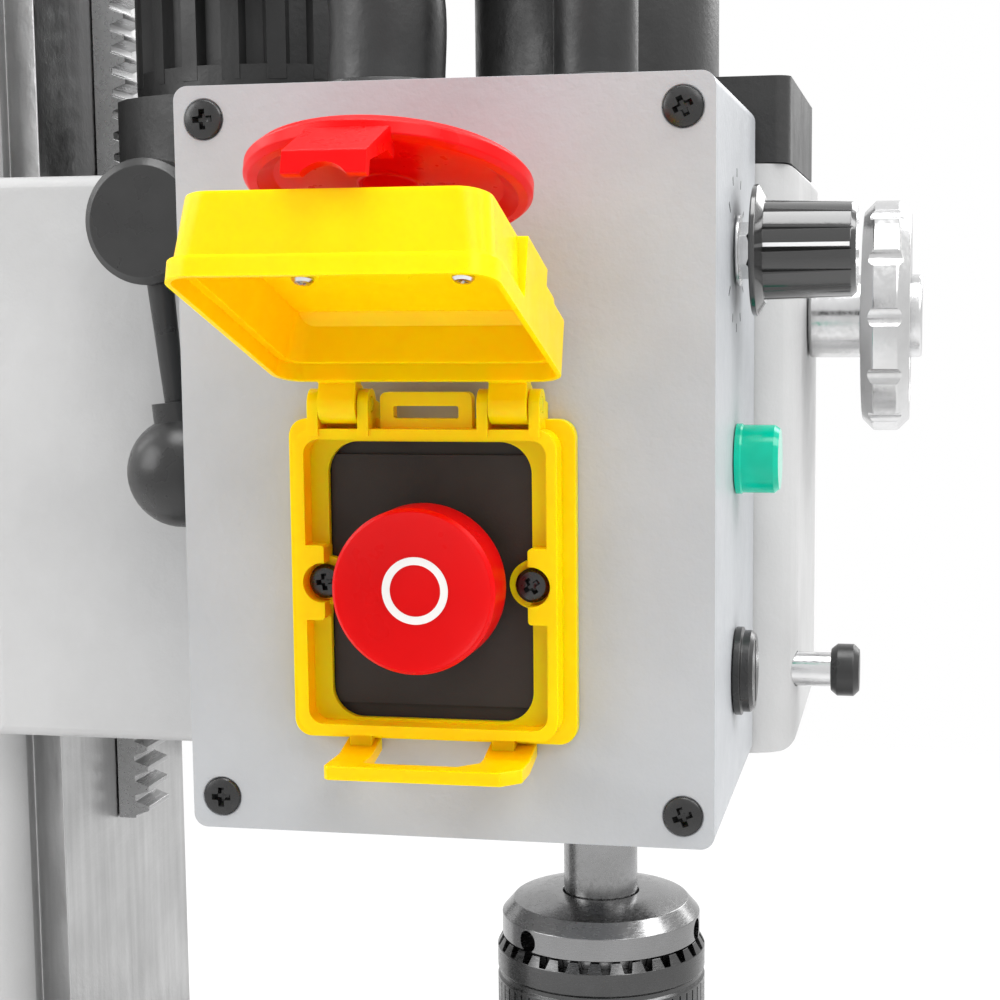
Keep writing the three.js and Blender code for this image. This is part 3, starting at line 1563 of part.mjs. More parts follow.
function makeLid() {
  const bandTop = lidRim + lidRimBand;
  const body = loft(lidOutline(lidRimWall, 0), bandTop - gap, lidOutline(0, 1), lidFace);
  const band = alongZ(lidOutline(0, 0), lidRim, bandTop);
  const lugs = [-1, 1].map((side) => lidLug(side));
  const hollow = loft(
    lidOutline(lidWall, 0), lidRim - overrun,
    lidOutline(lidWall, 1), lidFace - lidFaceWall,
  );
  const step = alongZ(lidOutline(lidRimWall, 0), lidRim - overrun, bandTop - gap);
  const stemHole = alongZ(disc(0, -hingeV, stemHoleRadius, turnSteps), lidRim, lidFace + overrun);
  const arms = [-1, 1].map((side) => lidArm((side * armSpacing) / 2));
  return joined(cut(joined(body, band, ...lugs), hollow, step, stemHole), ...arms);
}

// The lid's outline at its rim, where level is 0, or at its face, where level is 1, drawn in by inset
function lidOutline(inset, level) {
  const half = (level ? lidTopWidth : lidWidth) / 2 - inset;
  const far = (level ? lidTopEnd : lidEnd) - inset;
  const near = (level ? lidTopStart : lidStart) + inset;
  return roundedRect(-half, half, -far, -near, lidCorner - inset);
}

// A pad that stands upright on the leaning side
function lidLug(side) {
  const outer = (side * lidWidth) / 2;
  const inner = side * (lidTopWidth / 2 - lidWall);
  return block(Math.min(outer, inner), Math.max(outer, inner), -lugEnd, -lugStart,
    lidRim + lidRimBand - gap, lidFace - gap);
}

// Solid between two outlines with equal point counts
function loft(lowShape, low, highShape, high) {
  const lower = lowShape.getPoints(arcSteps);
  const upper = highShape.getPoints(arcSteps);
  const count = lower.length;
  const points = [...lower.map((p) => [p.x, p.y, low]), ...upper.map((p) => [p.x, p.y, high])];
  const index = [];
  for (let i = 0; i < count; i += 1) {
    const next = (i + 1) % count;
    index.push(i, next, count + next, i, count + next, count + i);
  }
  for (let i = 1; i < count - 1; i += 1) {
    index.push(0, i + 1, i, count, count + i, count + i + 1);
  }
  const geometry = new THREE.BufferGeometry();
  geometry.setAttribute('position', new THREE.Float32BufferAttribute(points.flat(), 3));
  geometry.setIndex(index);
  return geometry;
}

// An arm of the lid, with a stub axle on both its sides that snaps into the base's ears
function lidArm(middle) {
  const joint = -lidStart - lidRimWall / 2;
  const axle = armWidth / 2 + gap + earThickness;
  const shape = polygon([
    ...arcPoints(0, 0, armRound, -Math.PI, Math.PI / 2, 2 * arcSteps),
    [joint / 2, lidRim + lidRimBand], [joint, lidRim + lidRimBand], [joint, lidRim], [-armRound, lidRim],
  ]);
  return joined(
    alongX(shape, middle - armWidth / 2, middle + armWidth / 2),
    turnedX(rodProfile(pinRadius, middle - axle, middle + axle), holeSteps),
  );
}

function makeMushroom() {
  const rim = lidFace + mushroomGap;
  const top = rim + mushroomRim;
  const crown = top + mushroomCrown - mushroomRim;
  const wall = mushroomWall;
  const dishLevel = buttonFront - buttonDish + buttonDish * (stemRadius / buttonRadius) ** 2;
  const stemEnd = dishLevel - hingeW + 2 * gap + mushroomTravel;
  const crownShare = 0.6;
  const cap = turnedZ([
    [0, stemEnd], [stemRadius, stemEnd], [stemRadius, top - wall], [mushroomRadius - 2 * wall, top - wall],
    [mushroomRadius - wall, top - (3 * wall) / 2], [mushroomRadius - wall, rim],
    [mushroomRadius - wall / 3, rim], [mushroomRadius, rim + wall / 3], [mushroomRadius, top - wall / 2],
    [mushroomRadius - wall / 2, top], [mushroomRadius * crownShare, crown - wall / 3], [0, crown],
  ], fineSteps);
  return joined(cap, latchTongue().translate(0, hingeV, 0)).translate(0, -hingeV, 0);
}

// Latch tongue: slants from the mushroom's rim down to an upright front before the lid's end
function latchTongue() {
  const start = hingeV + mushroomRadius - mushroomWall;
  const near = lidEnd + tongueHang;
  const end = near + tongueWall;
  const high = lidFace + mushroomGap + mushroomRim - mushroomWall;
  const low = lidFace + tongueLow;
  const side = polygon([
    [-start + mushroomWall / 2, high], [-start - tongueTop, high], [-end, low + tongueFront], [-end, low],
    [-near, low], [-near, low + tongueFront - tongueWall / 2], [-start - tongueTop, high - 2 * tongueWall],
    [-start + mushroomWall / 2, high - 2 * tongueWall],
  ]);
  const plate = alongX(side, -tongueWidth / 2, tongueWidth / 2);
  const archShape = disc(0, low - tongueArchDrop, tongueArchRadius, smallSteps);
  const arch = alongY(archShape, -end - overrun, -near + gap);
  return cut(plate, arch);
}

// Controls on the narrow side, along u

const knobFace = narrowSide + knobStart;

function makeSpeedKnob() {
  const end = knobFace + knobLength;
  const ridgeShare = 0.32;
  const outline = [];
  for (let i = 0; i < knobFluteCount; i += 1) {
    const step = (2 * Math.PI) / knobFluteCount;
    outline.push([knobRadius, (i - ridgeShare) * step], [knobRadius, (i + ridgeShare) * step]);
    outline.push([knobRadius - knobFluteDepth, (i + 1 / 2) * step]);
  }
  const flat = outline.map(([radius, a]) => [radius * Math.cos(a), radius * Math.sin(a)]);
  const fluted = alongX(polygon(flat), knobFace, end);
  const envelope = turnedX([
    [0, knobFace], [knobRadius, knobFace], [knobTipRadius, end - knobBevel],
    [knobTipRadius - knobBevel, end], [0, end],
  ], fineSteps);
  const skirt = turnedX([
    [0, knobFace - skirtThickness], [skirtRadius, knobFace - skirtThickness], [skirtRadius, knobFace],
    [knobRadius, knobFace + skirtThickness], [0, knobFace + skirtThickness],
  ], fineSteps);
  const shaft = turnedX(rodProfile(knobShaftRadius, narrowSide - boxWall, knobFace), smallSteps);
  return joined(common(fluted, envelope), skirt, shaft).translate(0, knobHeight, -controlDepth);
}

function makePotentiometer() {
  const wallInside = narrowSide - boxWall - gap;
  const nutStart = narrowSide + gap;
  const bore = knobShaftRadius + gap;
  const bush = turnedX([
    [bore, wallInside - potLength / 2], [potRadius, wallInside - potLength / 2], [potRadius, wallInside],
    [potBushRadius, wallInside], [potBushRadius, nutStart + potNutThickness],
    [bore, nutStart + potNutThickness], [bore, wallInside - potLength / 2],
  ], smallSteps);
  const nutShape = polygon(arcPoints(0, 0, potNutRadius, 0, 2 * Math.PI, 6).slice(1));
  nutShape.holes.push(disc(0, 0, bore + gap, smallSteps));
  const nut = alongX(nutShape, nutStart, nutStart + (potNutThickness * 4) / 5);
  const can = alongX(disc(0, 0, potRadius, smallSteps), wallInside - potLength, wallInside - potLength / 2);
  return joined(bush, nut, can).translate(0, knobHeight, -controlDepth);
}

function makeLampBody() {
  const from = narrowSide - boxWall - lampBodyLength;
  const bezel = narrowSide + gap + lampBezel;
  return turnedX([
    [0, from], [lampBodyRadius, from], [lampBodyRadius, narrowSide + gap],
    [lensRadius - lensWall, narrowSide + gap], [lensRadius - lensWall, bezel], [lampBodyRadius / 2, bezel],
    [lampBodyRadius / 3, bezel + lampBezel * 2], [0, bezel + lampBezel * 2],
  ], smallSteps).translate(0, lampHeight, -controlDepth);
}

function makeLampLens() {
  const start = narrowSide + gap;
  const end = start + lensLength;
  const inner = lensRadius - lensWall + gap;
  const bevel = lensWall / 2;
  return turnedX([
    [inner, start], [lensRadius, start], [lensRadius, end - bevel], [lensRadius - bevel, end],
    [0, end], [0, end - lensWall], [inner, end - lensWall], [inner, start],
  ], turnSteps).translate(0, lampHeight, -controlDepth);
}

function makeFuseHolder() {
  const from = narrowSide - fuseBodyLength;
  const start = narrowSide + gap;
  const end = start + fuseLength;
  const bevel = fuseLength / 5;
  const body = turnedX([
    [0, from], [fuseBodyRadius, from], [fuseBodyRadius, start], [fuseRadius, start],
    [fuseRadius, end - bevel], [fuseRadius - bevel, end], [0, end],
  ], turnSteps);
  const slot = block(end - fuseSlotDepth, end + overrun, -fuseBodyRadius, fuseBodyRadius,
    -fuseSlotWidth / 2, fuseSlotWidth / 2);
  return cut(body, slot).translate(0, fuseHeight, -controlDepth);
}

function makeBoard() {
  const rear = boxRear + boxWall + gap;
  const floor = rear + boardStandoff;
  const top = floor + boardThickness;
  const board = alongZ(rectAbout(0, 0, boardWidth, boardTall, boxCorner), floor, top);
  const posts = [];
  for (const u of [-1, 1]) {
    for (const v of [-1, 1]) {
      const postU = u * (boardWidth / 2 - 2 * boardPostRadius);
      const postV = v * (boardTall / 2 - 2 * boardPostRadius);
      posts.push(alongZ(disc(postU, postV, boardPostRadius, holeSteps), rear, floor + gap));
    }
  }
  const sinkV = boardTall / 2 - sinkTall;
  const sink = block(-sinkWidth / 2, sinkWidth / 2, sinkV - sinkTall / 2, sinkV + sinkTall / 2,
    top - gap, top + sinkHeight);
  const grooves = [];
  const grooveCount = 5;
  const groovePitch = sinkWidth / (grooveCount + 1);
  for (let i = 1; i <= grooveCount; i += 1) {
    const middle = i * groovePitch - sinkWidth / 2;
    grooves.push(block(middle - groovePitch / 4, middle + groovePitch / 4, sinkV - sinkTall, sinkV + sinkTall,
      top + sinkHeight / 4, top + sinkHeight + overrun));
  }
  return joined(board, cut(sink, ...grooves), ...posts);
}

// Conduits, in head axes

function conduit(points, radius) {
  const curve = new THREE.CatmullRomCurve3(points.map((p) => new THREE.Vector3(...p)), false, 'centripetal');
  return new THREE.ExtrudeGeometry(disc(0, 0, radius, conduitSides), {
    steps: conduitSteps,
    extrudePath: curve,
    bevelEnabled: false,
  });
}

function conduitFoot(u, radius) {
  const bottom = boxTopV + gap;
  const lip = radius - conduitNutLip;
  return turnedZ([
    [0, boxTopV - boxWall - gap], [lip, boxTopV - boxWall - gap], [lip, bottom],
    [radius + conduitNutLip, bottom],
    [radius + conduitNutLip, bottom + conduitNutHeight], [0, bottom + conduitNutHeight],
  ], smallSteps).translate(conduitDepth - plateStandoff, boxBack - u, 0);
}

// A conduit's route as shares of its run inwards, its run sideways and its rise
const motorRouteShares = [
  [0, 0, 0], [0, 0, 0.35], [0.02, 0.12, 0.62], [0.12, 0.42, 0.88],
  [0.34, 0.78, 1.02], [0.72, 1, 1], [1, 1, 1],
];
const sensorRouteShares = [
  [0, 0, 0], [0, 0, 0.45], [0.06, 0.08, 0.76], [0.26, 0.38, 0.97], [0.66, 1, 1], [1, 1, 1],
];
const capEntryShare = 0.66; // height on the drawbar cap

function route(shares, from, to) {
  return shares.map((share) => share.map((along, axis) => from[axis] + (to[axis] - from[axis]) * along));
}

const conduitStart = (u) => [conduitDepth - plateStandoff, boxBack - u, boxTopV + gap + conduitNutHeight / 2];

function makeMotorConduit() {
  const entry = motorFloor + terminalRise + terminalHeight / 2;
  const end = [-motorRadius - terminalWidth - 2 * gap, motorOffset, entry];
  const path = route(motorRouteShares, conduitStart(motorConduitU), end);
  return joined(conduit(path, motorConduitRadius), conduitFoot(motorConduitU, motorConduitRadius));
}

function makeSensorConduit() {
  const end = [-capRadius - 2 * gap, 0, motorFloor + capHeight * capEntryShare];
  const path = route(sensorRouteShares, conduitStart(sensorConduitU), end);
  return joined(conduit(path, sensorConduitRadius), conduitFoot(sensorConduitU, sensorConduitRadius));
}

// Assembly

const machine = new THREE.Group();
const head = new THREE.Group();
head.position.set(0, 0, boxMiddle);
machine.add(head);

const controls = new THREE.Group();
controls.position.set(-plateStandoff, boxBack, 0);
controls.quaternion.setFromRotationMatrix(new THREE.Matrix4().makeBasis(
  new THREE.Vector3(0, -1, 0),
  new THREE.Vector3(0, 0, 1),
  new THREE.Vector3(-1, 0, 0),
));
head.add(controls);

const lid = new THREE.Group();
lid.position.set(switchU, switchV + hingeV, hingeW);
lid.rotation.set(-openAngle, 0, 0);
controls.add(lid);

const feed = new THREE.Group();
feed.position.set(0, pinionBack, feedRise);
head.add(feed);

function addStand() {
  part(machine, 'base', makeBase(), castGrey);
  part(machine, 'column', makeColumn(), castGrey);
  part(machine, 'column_cap', makeColumnCap(), blackPlastic);
  part(machine, 'rack', makeRack(), groundIron);
  part(machine, 'saddle', makeSaddle(), castGrey);
  part(machine, 'saddle_gib', makeSaddleGib(), groundIron);
  part(machine, 'table', makeTable(), groundIron);
  part(machine, 'table_gib', makeTableGib(), groundIron);
  part(machine, 'table_end_left', makeEndPlate(-1), castGrey);
  part(machine, 'table_end_right', makeEndPlate(1), castGrey);
  part(machine, 'front_bracket', makeFrontBracket(), castGrey);
}

function addScrews() {
  const half = tableLength / 2;
  const plateEnd = half + gap + endPlateThickness;
  const xEnd = plateEnd + gap + wheelHubLength;
  part(machine, 'x_screw', turnedX(screwProfile(-half + gap, half - gap, -plateEnd, xEnd), smallSteps)
    .translate(0, 0, xScrewHeight), brightSteel);
  part(machine, 'x_handwheel', handwheel().rotateZ(-Math.PI / 2).rotateX(Math.PI / 5)
    .translate(plateEnd + gap, 0, xScrewHeight), blackPlastic);
  const bracketEnd = baseReach + gap + bracketThickness;
  const yEnd = bracketEnd + gap + wheelHubLength;
  part(machine, 'y_screw', turnedY(screwProfile(-baseReach + gap, channelBack - pocketWall - overrun, -yEnd,
    channelBack - pocketWall - overrun / 2), smallSteps).translate(0, 0, yScrewHeight), brightSteel);
  part(machine, 'y_handwheel', handwheel().rotateZ(Math.PI).rotateY(-Math.PI / 6)
    .translate(0, -bracketEnd - gap, yScrewHeight), blackPlastic);
}

function addHead() {
  part(head, 'head_casting', makeHeadCasting(), castGrey);
  part(head, 'head_gib', makeHeadGib(), groundIron);
  part(head, 'belt_housing', makeBeltHousing(), blackPaint);
  part(head, 'drawbar_cap', makeDrawbarCap(), blackPlastic);
  part(head, 'motor', makeMotor(), blackPaint);
  part(head, 'motor_cowl', makeMotorCowl(), blackPlastic);
  part(head, 'motor_pulley', makeMotorPulley(), brightSteel);
  part(head, 'spindle_pulley', pulley(spindlePulleyRadius, spindleRadius + gap), brightSteel);
  part(head, 'drive_belt', makeBelt(), rubberBlack);
  part(head, 'spindle', makeSpindle(), brightSteel);
  part(head, 'spindle_bearing_lower', makeBearing(-headDrop - noseLength), brightSteel);
  part(head, 'spindle_bearing_upper', makeBearing(headRise - bearingHeight), brightSteel);
  part(head, 'motor_conduit', makeMotorConduit(), blackPlastic);
  part(head, 'sensor_conduit', makeSensorConduit(), blackPlastic);
}

function addChuck() {
  part(head, 'chuck_body', makeChuckBody(), darkSteel);
  part(head, 'chuck_sleeve', makeChuckSleeve(), darkSteel);
  for (let i = 0; i < jawCount; i += 1) {
    part(head, `chuck_jaw_${i + 1}`, makeJaw(i), brightSteel);
  }
}

function addHeadControls() {
  part(feed, 'feed_pinion', makeFeedPinion(), brightSteel);
  spokeAngles().forEach((angle, i) => part(feed, `feed_spoke_${i + 1}`, makeSpoke(angle), blackPlastic));
  part(head, 'fine_feed_wheel', makeFineWheel(), brightSteel);
  part(head, 'clamp_screw', makeClampScrew(), blackPlastic);
  part(head, 'head_lock_lever', makeLockLever(), blackPlastic);
}

// How far each cross recess is turned, in radians
const coverScrewTurns = [0.05, 0.44, 0.35, 0];
const switchScrewTurns = [0.1, 0.6];

function addControlBox() {
  part(controls, 'control_box', makeBox(), boxGrey);
  part(controls, 'control_box_cover', makeCover(), boxGrey);
  coverScrewPlaces().forEach(([u, v], i) =>
    part(controls, `cover_screw_${i + 1}`, makeCoverScrew(u, v, coverScrewTurns[i]), darkSteel));
  part(controls, 'speed_knob', makeSpeedKnob(), blackPlastic);
  part(controls, 'potentiometer', makePotentiometer(), brightSteel);
  part(controls, 'lamp_body', makeLampBody(), blackPlastic);
  part(controls, 'lamp_lens', makeLampLens(), greenLens);
  part(controls, 'fuse_holder', makeFuseHolder(), blackPlastic);
  part(controls, 'control_board', makeBoard(), boardGreen);
}

function addSwitch() {
  part(controls, 'switch_body', makeSwitchBody(), blackPlastic);
  part(controls, 'switch_base', makeSwitchBase(), yellowPlastic);
  part(controls, 'switch_screw_left', makeSwitchScrew(-1, switchScrewTurns[0]), darkSteel);
  part(controls, 'switch_screw_right', makeSwitchScrew(1, switchScrewTurns[1]), darkSteel);
  part(controls, 'stop_button', makeStopButton(), redPlastic);
  part(lid, 'switch_lid', makeLid(), yellowPlastic);
  part(lid, 'lid_mushroom', makeMushroom(), redPlastic);
}

addStand();
addScrews();
addHead();
addChuck();
addHeadControls();
addControlBox();
addSwitch();

export default machine;
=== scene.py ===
import math

import bmesh
import bpy
from mathutils import Matrix, Vector


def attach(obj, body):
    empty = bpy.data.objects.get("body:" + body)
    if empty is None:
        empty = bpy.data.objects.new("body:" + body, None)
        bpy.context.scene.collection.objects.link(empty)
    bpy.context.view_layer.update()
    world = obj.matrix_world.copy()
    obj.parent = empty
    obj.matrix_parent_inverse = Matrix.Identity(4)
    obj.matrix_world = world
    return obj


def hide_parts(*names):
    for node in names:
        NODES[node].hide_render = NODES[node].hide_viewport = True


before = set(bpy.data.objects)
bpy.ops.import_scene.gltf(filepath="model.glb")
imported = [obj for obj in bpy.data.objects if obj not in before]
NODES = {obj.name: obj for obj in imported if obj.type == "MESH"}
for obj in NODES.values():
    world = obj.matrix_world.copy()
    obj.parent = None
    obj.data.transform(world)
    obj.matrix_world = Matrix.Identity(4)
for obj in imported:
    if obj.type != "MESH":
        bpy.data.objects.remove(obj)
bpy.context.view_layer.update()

MM = 0.001
TAU = 2 * math.pi

# Sizes in millimetres, the same as the frame's
GAP = 0.3
OVERRUN = 2
BOX_MIDDLE = 437.6
PLATE_STANDOFF = 143
BOX_BACK = 11
BOX_WIDTH = 121
BOX_HEIGHT = 168.5
BOX_CORNER = 3.2
NARROW_SIDE = BOX_WIDTH / 2
COVER = 2.6
SWITCH_U = -1.9
SWITCH_V = -25.1
HINGE_V = 39.3
HINGE_W = 6.6
OPEN_ANGLE = math.radians(108)
CONTROL_DEPTH = 45
KNOB_HEIGHT = 47.5
LAMP_HEIGHT = -1.4
FUSE_HEIGHT = -52.5
COVER_SCREW_INSET = (7, 7.4)
SWITCH_SCREW_X = 23.4
SWITCH_SCREW_HOLE = 1.9
SWITCH_CUTOUT = (50, 52)


def moved(x=0.0, y=0.0, z=0.0):
    return Matrix.Translation((x, y, z))


# Frames: the head, the box's cover plate, the switch on it and the lid about its hinge
HEAD = moved(z=BOX_MIDDLE)
BASIS = Matrix(((0, 0, -1, -PLATE_STANDOFF), (-1, 0, 0, BOX_BACK), (0, 1, 0, 0), (0, 0, 0, 1)))
CONTROLS = HEAD @ BASIS
SWITCH = CONTROLS @ moved(SWITCH_U, SWITCH_V)
LID = SWITCH @ moved(0, HINGE_V, HINGE_W) @ Matrix.Rotation(-OPEN_ANGLE, 4, "X")


# Limits: distances in millimetres, angles of corners, and the share of a side that an arc takes
SAME_POINT = 1e-6
WELD = 1e-5
BEVEL_WELD = 2e-3
SHORTEST_EDGE = 1e-3
NEARLY_STRAIGHT = math.radians(165)
SHARP_CORNER = math.radians(35)
CORNER_SHARE = 0.46


# Outlines

def arc(x, y, radius, start, end, steps):
    return [(x + radius * math.cos(start + (end - start) * i / steps),
             y + radius * math.sin(start + (end - start) * i / steps)) for i in range(steps + 1)]


def disc(radius, steps):
    return arc(0, 0, radius, 0, TAU, steps)[:-1]


def rounded(points, radius, steps=5, closed=True):
    """An outline or a profile with each of its corners turned into a small arc."""
    count = len(points)
    made = []
    for i, point in enumerate(points):
        if not closed and i in (0, count - 1):
            made.append(point)
            continue
        here = Vector(point)
        before = Vector(points[i - 1]) - here
        after = Vector(points[(i + 1) % count]) - here
        side = min(before.length, after.length)
        if side < SAME_POINT or before.angle(after) > NEARLY_STRAIGHT:
            made.append(point)
            continue
        reach = min(radius / math.tan(before.angle(after) / 2), side * CORNER_SHARE)
        first = here + before.normalized() * reach
        last = here + after.normalized() * reach
        for k in range(steps + 1):
            share = k / steps
            made.append(tuple(first.lerp(here, share).lerp(here.lerp(last, share), share)))
    return made


def rect(x0, x1, y0, y1, corner, steps=8):
    corner = max(corner, 0.01)
    return (arc(x1 - corner, y0 + corner, corner, -math.pi / 2, 0, steps)
            + arc(x1 - corner, y1 - corner, corner, 0, math.pi / 2, steps)
            + arc(x0 + corner, y1 - corner, corner, math.pi / 2, math.pi, steps)
            + arc(x0 + corner, y0 + corner, corner, math.pi, 1.5 * math.pi, steps))


def rect_about(width, tall, corner, steps=8, x=0, y=0):
    return rect(x - width / 2, x + width / 2, y - tall / 2, y + tall / 2, corner, steps)


# Meshes

def laid(axis, a, b, c):
    """A point of an outline (a, b) at c along the axis."""
    return {"x": (c, a, b), "y": (a, c, b), "z": (a, b, c)}[axis]


def linked(name, data):
    """A new object of the scene with this data."""
    obj = bpy.data.objects.new(name, data)
    bpy.context.scene.collection.objects.link(obj)
    return obj


def welded(obj, distance, shortest=0):
    """Points that lie within distance become one, and edges below the shortest go."""
    made = bmesh.new()
    made.from_mesh(obj.data)
    bmesh.ops.remove_doubles(made, verts=made.verts, dist=distance)
    if shortest:
        bmesh.ops.dissolve_degenerate(made, dist=shortest, edges=made.edges)
    bmesh.ops.recalc_face_normals(made, faces=made.faces)
    made.to_mesh(obj.data)
    made.free()
    return obj


def spun(obj, angle, axis="Z"):
    obj.data.transform(Matrix.Rotation(angle, 4, axis))
    return obj


def mesh_object(points, faces, place=None):
    mesh = bpy.data.meshes.new("piece")
    mesh.from_pydata([tuple(p) for p in points], [], faces)
    if place is not None:
        mesh.transform(place)
    return welded(linked("piece", mesh), WELD)


def prism(outline, low, high, axis="z"):
    return loft(outline, low, outline, high, axis)


def loft(low_outline, low, high_outline, high, axis="z"):
    count = len(low_outline)
    points = [laid(axis, a, b, low) for a, b in low_outline]
    points += [laid(axis, a, b, high) for a, b in high_outline]
    faces = [list(reversed(range(count))), list(range(count, 2 * count))]
    faces += [[i, (i + 1) % count, count + (i + 1) % count, count + i] for i in range(count)]
    return mesh_object(points, faces)


def box(x0, x1, y0, y1, z0, z1):
    return prism([(x0, y0), (x1, y0), (x1, y1), (x0, y1)], z0, z1)


def turned(profile, axis="z", steps=96, place=None, soften=0):
    """A lathe form from a profile of (radius, along), whose ends may lie on the axis."""
    ring = profile[0] == profile[-1]
    if soften:
        profile = rounded(profile[:-1], soften) if ring else rounded(profile, soften, closed=False)
        if ring:
            profile.append(profile[0])
    points = []
    rows = []
    for radius, along in profile:
        if radius < SAME_POINT:
            rows.append([len(points)] * steps)
            points.append(laid(axis, 0, 0, along))
        else:
            rows.append(list(range(len(points), len(points) + steps)))
            points += [laid(axis, a, b, along) for a, b in disc(radius, steps)]
    faces = []
    for lower, upper in zip(rows, rows[1:]):
        for i in range(steps):
            after = (i + 1) % steps
            corners = [lower[i], lower[after], upper[after], upper[i]]
            face = [c for k, c in enumerate(corners) if c != corners[k - 1]]
            if len(face) > 2:
                faces.append(face)
    return mesh_object(points, faces, place)


def rod(radius, start, end, axis="z", steps=48, place=None):
    return turned([(0, start), (radius, start), (radius, end), (0, end)], axis, steps, place)


def applied(obj):
    graph = bpy.context.evaluated_depsgraph_get()
    mesh = bpy.data.meshes.new_from_object(obj.evaluated_get(graph))
    obj.modifiers.clear()
    old = obj.data
    obj.data = mesh
    bpy.data.meshes.remove(old)


def combined(obj, others, operation):
    for other in others:
        modifier = obj.modifiers.new("combine", "BOOLEAN")
        modifier.operation = operation
        modifier.solver = "EXACT"
        modifier.object = other
    bpy.context.view_layer.update()
    applied(obj)
    for other in others:
        bpy.data.objects.remove(other)
    return obj


def union(obj, *others):
    return combined(obj, others, "UNION")


def cut(obj, *others):
    return combined(obj, others, "DIFFERENCE")


def common(obj, other):
    return combined(obj, [other], "INTERSECT")


def edge_bevel(obj, width, segments=3, angle=30):
    modifier = obj.modifiers.new("edges", "BEVEL")
    modifier.width = width
    modifier.segments = segments
    modifier.limit_method = "ANGLE"
    modifier.angle_limit = math.radians(angle)
    modifier.miter_outer = "MITER_ARC"


def coated(obj, material, keep_sharp):
    """Smooth faces with weighted normals, all in one material."""
    mesh = obj.data
    mesh.polygons.foreach_set("use_smooth", [True] * len(mesh.polygons))
    mesh.materials.clear()
    mesh.materials.append(material)
    obj.modifiers.new("normals", "WEIGHTED_NORMAL").keep_sharp = keep_sharp


def piece(name, obj, place, material, body, replaces=(), bevel=0, segments=3):
    """Sets a form built in millimetres into the frame and gives it all that a piece needs."""
    if bevel:
        edge_bevel(welded(obj, BEVEL_WELD, SHORTEST_EDGE), bevel, segments)
        bpy.context.view_layer.update()
        applied(obj)
    obj.data.transform(Matrix.Scale(MM, 4) @ place)
    obj.data.update()
    obj.name = name
    obj.data.name = name
    coated(obj, material, True)
    obj.data.set_sharp_from_angle(angle=SHARP_CORNER)
    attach(obj, body)
    if replaces:
        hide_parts(*replaces)


# Materials

def put(node, **values):
    """Sets a node's inputs by their names, with _ for each space."""
    for key, value in values.items():
        node.inputs[key.replace("_", " ")].default_value = value


class Surface:
    """A node material on Principled BSDF, with its patterns in the object's own metres."""

    def __init__(self, name, roughness, metallic=0.0):
        self.material = bpy.data.materials.new(name)
        self.material.use_nodes = True
        self.nodes = self.material.node_tree.nodes
        self.links = self.material.node_tree.links
        self.shader = self.nodes["Principled BSDF"]
        put(self.shader, Roughness=roughness, Metallic=metallic)
        self.place = self.nodes.new("ShaderNodeTexCoord").outputs["Object"]
        self.height = None

    def set(self, **values):
        put(self.shader, **values)

    def noise(self, scale, detail, stretch=(1, 1, 1)):
        mapping = self.nodes.new("ShaderNodeMapping")
        put(mapping, Scale=stretch)
        self.links.new(self.place, mapping.inputs["Vector"])
        noise = self.nodes.new("ShaderNodeTexNoise")
        put(noise, Scale=scale, Detail=detail, Roughness=0.55)
        self.links.new(mapping.outputs["Vector"], noise.inputs["Vector"])
        return noise.outputs["Fac"]

    def spread(self, value, low, high):
        """The middle part of a noise, drawn out from low to high."""
        ramp = self.nodes.new("ShaderNodeMapRange")
        put(ramp, From_Min=0.35, From_Max=0.65, To_Min=low, To_Max=high)
        self.links.new(value, ramp.inputs["Value"])
        return ramp.outputs["Result"]

    def between(self, share, first, second):
        mix = self.nodes.new("ShaderNodeMix")
        mix.data_type = "RGBA"
        self.links.new(share, mix.inputs["Factor"])
        for name, colour in (("A", first), ("B", second)):
            socket = [s for s in mix.inputs if s.name == name and s.type == "RGBA"][0]
            if isinstance(colour, bpy.types.NodeSocket):
                self.links.new(colour, socket)
            else:
                socket.default_value = (*colour, 1)
        return [s for s in mix.outputs if s.type == "RGBA"][0]

    def mottled(self, scale, detail, first, second):
        """A colour that wanders between two tones."""
        return self.between(self.spread(self.noise(scale, detail), 0, 1), first, second)

    def math(self, operation, first, second):
        node = self.nodes.new("ShaderNodeMath")
        node.operation = operation
        for socket, value in zip(node.inputs, (first, second)):
            if isinstance(value, bpy.types.NodeSocket):
                self.links.new(value, socket)
            else:
                socket.default_value = value
        return node.outputs["Value"]

    def colour(self, socket):
        self.links.new(socket, self.shader.inputs["Base Color"])

    def roughness(self, socket):
        self.links.new(socket, self.shader.inputs["Roughness"])

    def bump(self, height, strength, distance):
        node = self.nodes.new("ShaderNodeBump")
        put(node, Strength=strength, Distance=distance)
        self.links.new(height, node.inputs["Height"])
        if self.height is not None:
            self.links.new(self.height, node.inputs["Normal"])
        self.height = node.outputs["Normal"]
        self.links.new(self.height, self.shader.inputs["Normal"])

    def axis(self, which):
        parts = self.nodes.new("ShaderNodeSeparateXYZ")
        self.links.new(self.place, parts.inputs["Vector"])
        return parts.outputs[which]


def grey(value, tint=(1, 1, 1)):
    return tuple(value * t for t in tint)


COOL = (0.97, 1, 1.04)
WARM = (1.15, 1, 0.9)


def powder_coat(name, tone):
    s = Surface(name, 0.42)
    s.colour(s.mottled(35, 4, grey(tone * 0.955, COOL), grey(tone * 1.02, COOL)))
    s.roughness(s.spread(s.noise(60, 3), 0.37, 0.5))
    s.bump(s.noise(420, 2), 0.22, 0.0006)
    s.bump(s.noise(1500, 2), 0.12, 0.0003)
    s.set(Specular_IOR_Level=0.3)
    return s.material


